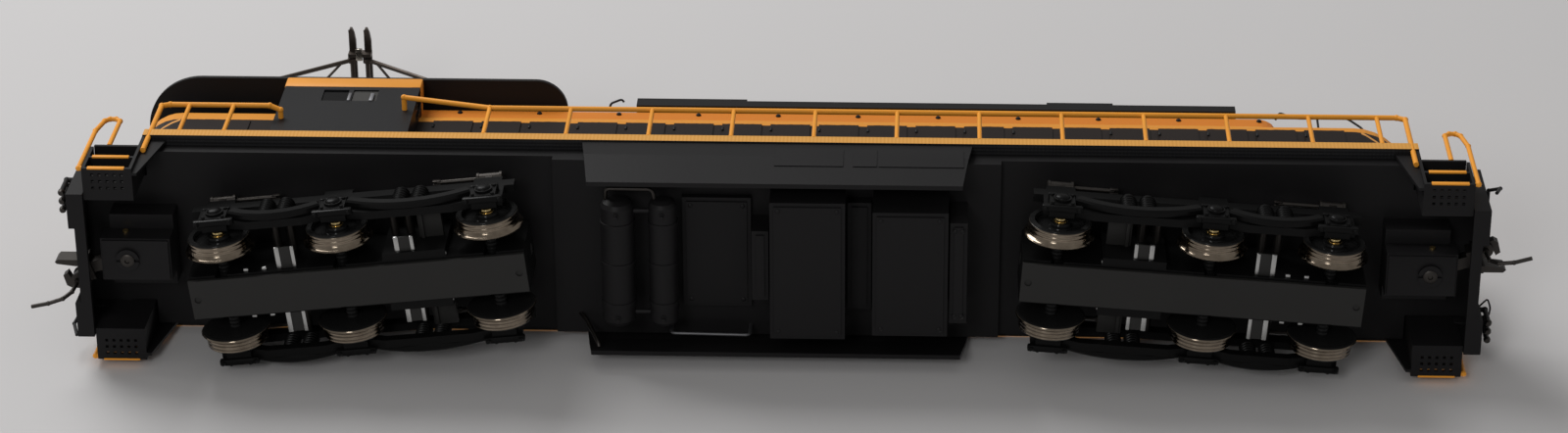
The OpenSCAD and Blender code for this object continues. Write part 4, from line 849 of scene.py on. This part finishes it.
# %% Hose couplings, lever loops and rivets
HOSE_X, HOSE_YS, HOSE_Z = 119.7, (9.0, 10.6, 12.2), 9.6
HOSE_END = [(0, 0.9), (0.42, 0.9), (0.6, 0.5), (0.6, 0.1), (0.46, -0.2)]
LEVER = ((115.8, -13.5), (119.3, -11.6), (120.4, -10.2), (120.6, -8.6), (120.0, -6.9), (118.5, -8.6))
RIVET = [(0, 0.16), (0.16, 0.13), (0.24, 0), (0.24, -0.1)]
RIVET_X, RIVET_START, RIVET_PITCH, RIVET_ROW, RIVET_ZS = 118.3, -12.6, 2.1, 13, (20.8, 18.0)
bm = bmesh.new()
for sx in SIDES:
    for y in HOSE_YS:
        add_turned(bm, HOSE_END, (sx * HOSE_X, sx * y, HOSE_Z), (0, 0, -1), 12)
finish_piece("hose_couplings", bm, "chassis", "dark_steel")
loops = [bent([(-sx * x, sx * y, 14.0) for x, y in LEVER], 0.5) for sx in SIDES]
wire_piece("lever_loops", loops, 0.16, "chassis", "frame_black")
bm = bmesh.new()
for sx in SIDES:
    for i in range(RIVET_ROW):
        for z in RIVET_ZS:
            add_turned(bm, RIVET, (sx * RIVET_X, RIVET_START + i * RIVET_PITCH, z), (sx, 0, 0), 8)
finish_piece("end_rivets", bm, "chassis", "frame_black")
print("rivets:", 2 * RIVET_ROW * len(RIVET_ZS))

# %% [markdown]
# ## Feet of the handrail posts
# Each post of the handrails stands in a small socket on the walkway. The post
# could just end there, but a turned foot hides the joint and catches the light.

# %% Feet of the handrail posts
POSTS = [-101.7, -94.1] + [-49.9 + 14 * i for i in range(11)] + [101.7]
POST_Y, DECK_Z = 17.6, 22.0
POST_FOOT = [(0.3, 0.7), (0.5, 0.6), (0.5, 0.2), (0.62, 0.1), (0.62, -0.1)]
bm = bmesh.new()
for x in POSTS:
    for side in SIDES:
        add_turned(bm, POST_FOOT, (x, side * POST_Y, DECK_Z), (0, 0, 1), 12)
finish_piece("post_feet", bm, "chassis", "rail_yellow")
print("post feet:", 2 * len(POSTS))

# %% [markdown]
# ## Hood fittings
# Doors have latches and hinges, the raised hood carries lifting eyes, and the lamps
# sit in dark bezels. They could be drawn in the paint, but real relief throws the
# small shadows that make the hood look assembled.

# %% Latches, hinges and lifting eyes
DOOR_COUNT, DOOR_START, DOOR_RUN = 19, -61.6, 159.7
DOORS = [DOOR_START + (i + 0.5) * DOOR_RUN / DOOR_COUNT for i in range(DOOR_COUNT)]
HINGE = [(0, 0.6), (0.2, 0.6), (0.24, 0.5), (0.24, -0.5), (0.2, -0.6), (0, -0.6)]
HINGE_ZS, EYE_COUNT = (30.6, 39.4), 11
EYE = [(0, 0.34), (0.3, 0.3), (0.46, 0.12), (0.46, -0.2)]
bm = bmesh.new()
for side in SIDES:
    for x in DOORS:
        add_block(bm, (x + 2.2, side * 11.1, 34.4), (x + 2.7, side * 11.55, 36.0), 0.1)
        for z in HINGE_ZS:
            add_turned(bm, HINGE, (x - 3.3, side * 11.3, z), (0, 0, 1), 8)
    for i in range(EYE_COUNT):
        add_turned(bm, EYE, (-56.9 + 14 * i, side * 10.2, 47.3), (0, side, 0), 12)
finish_piece("hood_fittings", bm, "chassis", "frame_black")
print("doors fitted:", 2 * len(DOORS))

# %% Lamp bezels
LAMPS, LAMP_Y, LAMP_Z = ((-112.5, -1), (109.0, 1)), 1.3, 41.0
BEZEL = [(1.0, -0.1), (1.0, 0.5), (1.12, 0.58), (1.26, 0.5), (1.28, -0.2)]
bm = bmesh.new()
for x, way in LAMPS:
    for y in (-LAMP_Y, LAMP_Y):
        add_turned(bm, BEZEL, (x, y, LAMP_Z), (way, 0, 0), 24, True)
finish_piece("lamp_bezels", bm, "chassis", "frame_black")
print("lamp bezels:", 2 * len(LAMPS))

# %% [markdown]
# ## Cab windows and doors
# On the real cab, frames stand a little proud round the windows and doors. A frame
# could be four bars, or one face that is inset, opened and solidified, which gives
# clean mitred corners. Both steps follow the face's normal, which a new face lacks
# until normal_update() is called. It isn't called here, so the rings have no width.
# Square eaves close the roof's edge as plain blocks, and the wipers are thin wires.

# %% Window frames and sashes
FRAME_W, FRAME_T = 0.3, 0.2
CAB_WALL, WINDOW_XS, WINDOW_HALF_L, WINDOW_ZS = 15.5, (-78.05, -72.85), 2.5, (40.2, 45.4)
SASHES = ((-75.75, -75.2), (-71.9, -71.2))


def add_frame(bm, corners):
    before = set(bm.faces)
    face = bm.faces.new([bm.verts.new(c) for c in corners])
    bmesh.ops.inset_region(bm, faces=[face], thickness=FRAME_W, use_boundary=True, use_even_offset=True)
    ring = [f for f in bm.faces if f is not face and f not in before]
    bmesh.ops.delete(bm, geom=[face], context="FACES_ONLY")
    bmesh.ops.solidify(bm, geom=ring, thickness=FRAME_T)


bm = bmesh.new()
low_z, high_z = WINDOW_ZS
for side in SIDES:
    for middle_x in WINDOW_XS:
        x0, x1 = middle_x - WINDOW_HALF_L * side, middle_x + WINDOW_HALF_L * side
        outline = ((x0, low_z), (x0, high_z), (x1, high_z), (x1, low_z))
        add_frame(bm, [(x, side * CAB_WALL, z) for x, z in outline])
window_frames = finish_piece("side_window_frames", bm, "chassis", "cab_paint")
bm = bmesh.new()
for side in SIDES:
    for x0, x1 in SASHES:
        add_block(bm, (x0, side * 15.3, 40.5), (x1, side * 15.58, 43.6), 0.1)
finish_piece("window_sashes", bm, "chassis", "lead")
frame_area = sum(face.area for face in window_frames.data.polygons) / MM**2
print("sashes:", 2 * len(SASHES), "area of the window frames in mm2:", round(frame_area, 3))

# %% Door frames, eaves and wipers
DOOR_WALLS, DOOR_Y, DOOR_HALF_W, DOOR_ZS = ((-87.35, -1), (-63.55, 1)), 13.2, 1.75, (22.6, 45.8)
KNOB, KNOB_Y, KNOB_Z = [(0, 0.5), (0.25, 0.46), (0.3, 0.3), (0.16, 0.2), (0.16, -0.2)], 12.2, 33.0
WIPER_WALLS = ((-87.55, -1), (-63.35, 1))
bm = bmesh.new()
low_z, high_z = DOOR_ZS
for x, way in DOOR_WALLS:
    for side in SIDES:
        y0, y1 = DOOR_Y * side - DOOR_HALF_W * way, DOOR_Y * side + DOOR_HALF_W * way
        add_frame(bm, ((x, y0, low_z), (x, y0, high_z), (x, y1, high_z), (x, y1, low_z)))
        add_turned(bm, KNOB, (x, KNOB_Y * side, KNOB_Z), (way, 0, 0), 10)
finish_piece("cab_door_frames", bm, "chassis", "cab_paint")
bm = bmesh.new()
for side in SIDES:
    add_block(bm, (-87.5, side * 11.5, 46.4), (-63.5, side * 15.5, 50.15), 0.35)
finish_piece("cab_eaves", bm, "chassis", "roof_orange")
wipers = []
for x, way in WIPER_WALLS:
    for side in SIDES:
        arm = [(x - way * 0.3, 13.6 * side, 45.5), (x, 13.6 * side, 45.2), (x, 12.8 * side, 41.4)]
        wipers += [bent(arm, 0.2), [(x, 12.5 * side, 42.9), (x, 12.9 * side, 40.0)]]
wire_piece("cab_wipers", wipers, 0.12, "chassis", "dark_steel")
print("door knobs:", 2 * len(DOOR_WALLS), "wiper wires:", len(wipers))

# %% [markdown]
# ## Roof wires and bolts
# Black grab rails run down from the raised roof to the low rear roof, a small wire
# hook guides the roof cable, and bolts hold the roof plates down. Thin wires are
# easiest as curves, which stay round however they bend.

# %% Roof wires
GRAB_RAIL = ((86.2, 9.6, 49.6), (87.0, 10.0, 51.6), (89.0, 10.2, 49.0), (90.2, 10.4, 48.3),
             (98.5, 10.4, 48.6), (101.0, 9.6, 46.2), (101.6, 8.9, 44.6))
GRAB_POST = ((93.3, 10.4, 48.4), (93.3, 9.7, 44.2))
CABLE_HOOK = [(-30.8, -9.8, 49.9), (-30.6, -10.8, 50.6), (-28.6, -11.7, 50.5), (-28.2, -11.3, 50.2)]
roof_wires = []
for side in SIDES:
    roof_wires.append(bent([(x, side * y, z) for x, y, z in GRAB_RAIL]))
    roof_wires.append([(x, side * y, z) for x, y, z in GRAB_POST])
roof_wires.append(bent(CABLE_HOOK, 0.5))
wire_piece("roof_wires", roof_wires, 0.2, "chassis", "frame_black")
print("roof wires:", len(roof_wires))

# %% Roof bolts
HEX = [(0, 0.34), (0.36, 0.34), (0.44, 0.24), (0.44, -0.1)]
PANEL_ROW, PANEL_START, PANEL_PITCH, PANEL_Y, PANEL_Z, HATCH_Z = 13, -24.6, 8.5, 9.9, 52.3, 53.0
HATCH_SPANS = ((-26.0, -6.6), (46.2, 57.8))
PLATFORM_ROW, PLATFORM_START, PLATFORM_PITCH, PLATFORM_Y, PLATFORM_Z = 8, -104.0, 8.9, 13.9, 51.4
bm = bmesh.new()
for side in SIDES:
    for i in range(PANEL_ROW):
        x = PANEL_START + PANEL_PITCH * i
        on_hatch = any(low < x < high for low, high in HATCH_SPANS)
        add_turned(bm, HEX, (x, side * PANEL_Y, HATCH_Z if on_hatch else PANEL_Z), (0, 0, 1), 6)
    for i in range(PLATFORM_ROW):
        x = PLATFORM_START + PLATFORM_PITCH * i
        add_turned(bm, HEX, (x, side * PLATFORM_Y, PLATFORM_Z), (0, 0, 1), 6)
finish_piece("roof_bolts", bm, "chassis", "frame_black")
print("roof bolts:", 2 * (PANEL_ROW + PLATFORM_ROW))

# %% [markdown]
# ## Pantograph springs
# Two springs on the base lift the arms against the wire. Each is a close coil with
# a straight hook at either end, and a nut holds every insulator to the base. The
# coil is real geometry, because a bump can't show the gaps between its turns.

# %% Pantograph springs and nuts
PAN_X, COIL_Y, COIL_Z, COIL_HALF_L = -79.05, 3.4, 52.25, 7.5
BASE_NUT = [(0, 0.5), (0.5, 0.5), (0.62, 0.36), (0.62, -0.2)]
bm = bmesh.new()
for side in SIDES:
    foot = (PAN_X - COIL_HALF_L, side * COIL_Y, COIL_Z)
    add_coil(bm, foot, (1, 0, 0), 0.42, 0.14, 2 * COIL_HALF_L, 26)
    for sx in SIDES:
        add_turned(bm, BASE_NUT, (PAN_X + sx * 10, side * 9.4, 53.6), (0, 0, 1), 6)
finish_piece("pantograph_springs", bm, "chassis", "pantograph_metal")
hooks = [[(PAN_X + sx * 7.4, sy * COIL_Y, COIL_Z), (PAN_X + sx * 9.9, sy * COIL_Y, 52.8)]
         for sx, sy in CORNERS]
wire_piece("spring_hooks", hooks, 0.16, "chassis", "pantograph_metal")
print("pantograph springs: 2, hooks:", len(hooks))

# %% [markdown]
# ## Contact strips
# Two carbon strips touch the wire. Each lies over a bar of the collector head: a
# flat outline with the ends drawn in, bent down at both horns, then thickened
# downwards by an extrusion. Spring boxes join the pair near either end.

# %% Contact strips
HEAD_TOP = span("collector_head")[1][2]
PAN_SPREAD, STRIP_T = 1.4, 0.95
HORN = ((12.4, 0.2, 1.25), (11.2, 0.5, 0.75), (9.4, 0.62, 0.05))
STRIP_STEPS = [(-y, w, drop) for y, w, drop in HORN] + list(reversed(HORN))


def add_strip(bm, x):
    rows = []
    for y, half_w, drop in STRIP_STEPS:
        rows.append([bm.verts.new((x + dx, y, HEAD_TOP - drop)) for dx in (-half_w, half_w)])
    strip = [bm.faces.new((a[0], a[1], b[1], b[0])) for a, b in zip(rows, rows[1:])]
    grown = bmesh.ops.extrude_face_region(bm, geom=strip)["geom"]
    moved = [v for v in grown if isinstance(v, bmesh.types.BMVert)]
    bmesh.ops.translate(bm, verts=moved, vec=(0, 0, -STRIP_T))


bm = bmesh.new()
for sx in SIDES:
    add_strip(bm, PAN_X + sx * PAN_SPREAD)
bmesh.ops.recalc_face_normals(bm, faces=bm.faces)
finish_piece("contact_strips", bm, "collector_head", "pantograph_metal")
print("contact strips under", round(HEAD_TOP, 2), "mm")

# %% Spring boxes
bm = bmesh.new()
for side in SIDES:
    low = (PAN_X - 0.6, side * 6.4, HEAD_TOP - 3.2)
    add_block(bm, low, (PAN_X + 0.6, side * 8.8, HEAD_TOP - 2.6), 0.12)
spring_boxes = finish_piece("spring_boxes", bm, "collector_head", "nickel")
print("spring boxes:", len(spring_boxes.data.polygons), "faces")

# %% [markdown]
# ## Table
# The locomotive lies on its right side on a pale table, and the camera looks
# at its underside. The table is one large plane that touches the sill and the
# roof edge. Its back is see-through, so that views from behind aren't blocked.

# %% Table finish
TABLE_GREY = (0.60, 0.59, 0.59, 1)


def table_material():
    mat = bpy.data.materials.new("table")
    mat.use_nodes = True
    tree = mat.node_tree
    tree.nodes.clear()
    out = tree.nodes.new("ShaderNodeOutputMaterial")
    matte = tree.nodes.new("ShaderNodeBsdfDiffuse")
    matte.inputs[0].default_value = TABLE_GREY
    clear = tree.nodes.new("ShaderNodeBsdfTransparent")
    mix = tree.nodes.new("ShaderNodeMixShader")
    geometry = tree.nodes.new("ShaderNodeNewGeometry")
    path = tree.nodes.new("ShaderNodeLightPath")
    through = math_node(tree, "MAXIMUM", geometry.outputs["Backfacing"], path.outputs["Is Shadow Ray"])
    tree.links.new(through, mix.inputs[0])
    tree.links.new(matte.outputs[0], mix.inputs[1])
    tree.links.new(clear.outputs[0], mix.inputs[2])
    tree.links.new(mix.outputs[0], out.inputs[0])
    return mat


print("table grey:", TABLE_GREY[:3])

# %% Table
sill_touch = Vector((0, 18.3, 20)) * MM
roof_touch = Vector((0, 15.7, 50)) * MM
along = Vector((1, 0, 0))
rise = (roof_touch - sill_touch).normalized()
facing = along.cross(rise)
if facing.y > 0:
    facing = -facing
table_mesh = bpy.data.meshes.new("table")
bm = bmesh.new()
bmesh.ops.create_grid(bm, x_segments=1, y_segments=1, size=3.0)
turn = Matrix((along, facing.cross(along), facing)).transposed().to_4x4()
bmesh.ops.transform(bm, matrix=Matrix.Translation(sill_touch) @ turn, verts=bm.verts)
bm.to_mesh(table_mesh)
bm.free()
table = bpy.data.objects.new("table", table_mesh)
bpy.context.scene.collection.objects.link(table)
table_mesh.materials.append(table_material())
print("table faces", [round(v, 3) for v in facing])

# %% [markdown]
# ## Light
# The model lies by a window: one broad lamp over the table gives the soft shadow,
# and two weaker ones lift the underside and the back. A bright world alone would
# leave hardly any shadow, so it only fills in.

# %% Lights
WORLD_TINT, WORLD_LEVEL = (1.0, 0.99, 0.98, 1), 0.3
world = bpy.data.worlds.new("studio")
bpy.context.scene.world = world
world.use_nodes = True
world.node_tree.nodes["Background"].inputs[0].default_value = WORLD_TINT
world.node_tree.nodes["Background"].inputs[1].default_value = WORLD_LEVEL


def soft_lamp(name, place, aim, size, watts):
    data = bpy.data.lights.new(name, "AREA")
    data.size = size
    data.energy = watts
    lamp = bpy.data.objects.new(name, data)
    lamp.location = place
    lamp.rotation_euler = (Vector(aim) - Vector(place)).to_track_quat("-Z", "Y").to_euler()
    bpy.context.scene.collection.objects.link(lamp)
    return lamp


AIM = (0, 0, 0.03)
soft_lamp("window_light", (-0.5, -0.8, 0.5), AIM, 0.6, 8.4)
soft_lamp("front_fill", (-0.3, -0.6, -1.0), AIM, 0.3, 2.6)
soft_lamp("back_fill", (0.4, 0.9, 0.3), AIM, 0.6, 4.0)

# %% [markdown]
# ## Camera
# The camera could be aimed by eye. Here its place and turn are given by numbers,
# fitted to known points of the model, so that the view keeps the photograph's
# angle: a right and an up direction make the matrix, and their cross the third.

# %% Camera
CAMERA_PLACE = Vector((25.14, -299.5, -582.88))
camera_data = bpy.data.cameras.new("camera")
camera_data.sensor_fit = "HORIZONTAL"
camera_data.sensor_width = 36
camera_data.lens = 90.8
camera_data.clip_start = 0.01
camera = bpy.data.objects.new("camera", camera_data)
right = Vector((0.99928781, 0.00501622, 0.03739943))
up = Vector((-0.01194711, -0.89807788, 0.43967418))
turn = Matrix((right, up, right.cross(up))).transposed().to_4x4()
camera.matrix_world = Matrix.Translation(CAMERA_PLACE * MM) @ turn
bpy.context.scene.collection.objects.link(camera)
bpy.context.scene.camera = camera
bpy.context.scene.view_settings.view_transform = "Standard"
print("camera lens", camera_data.lens)
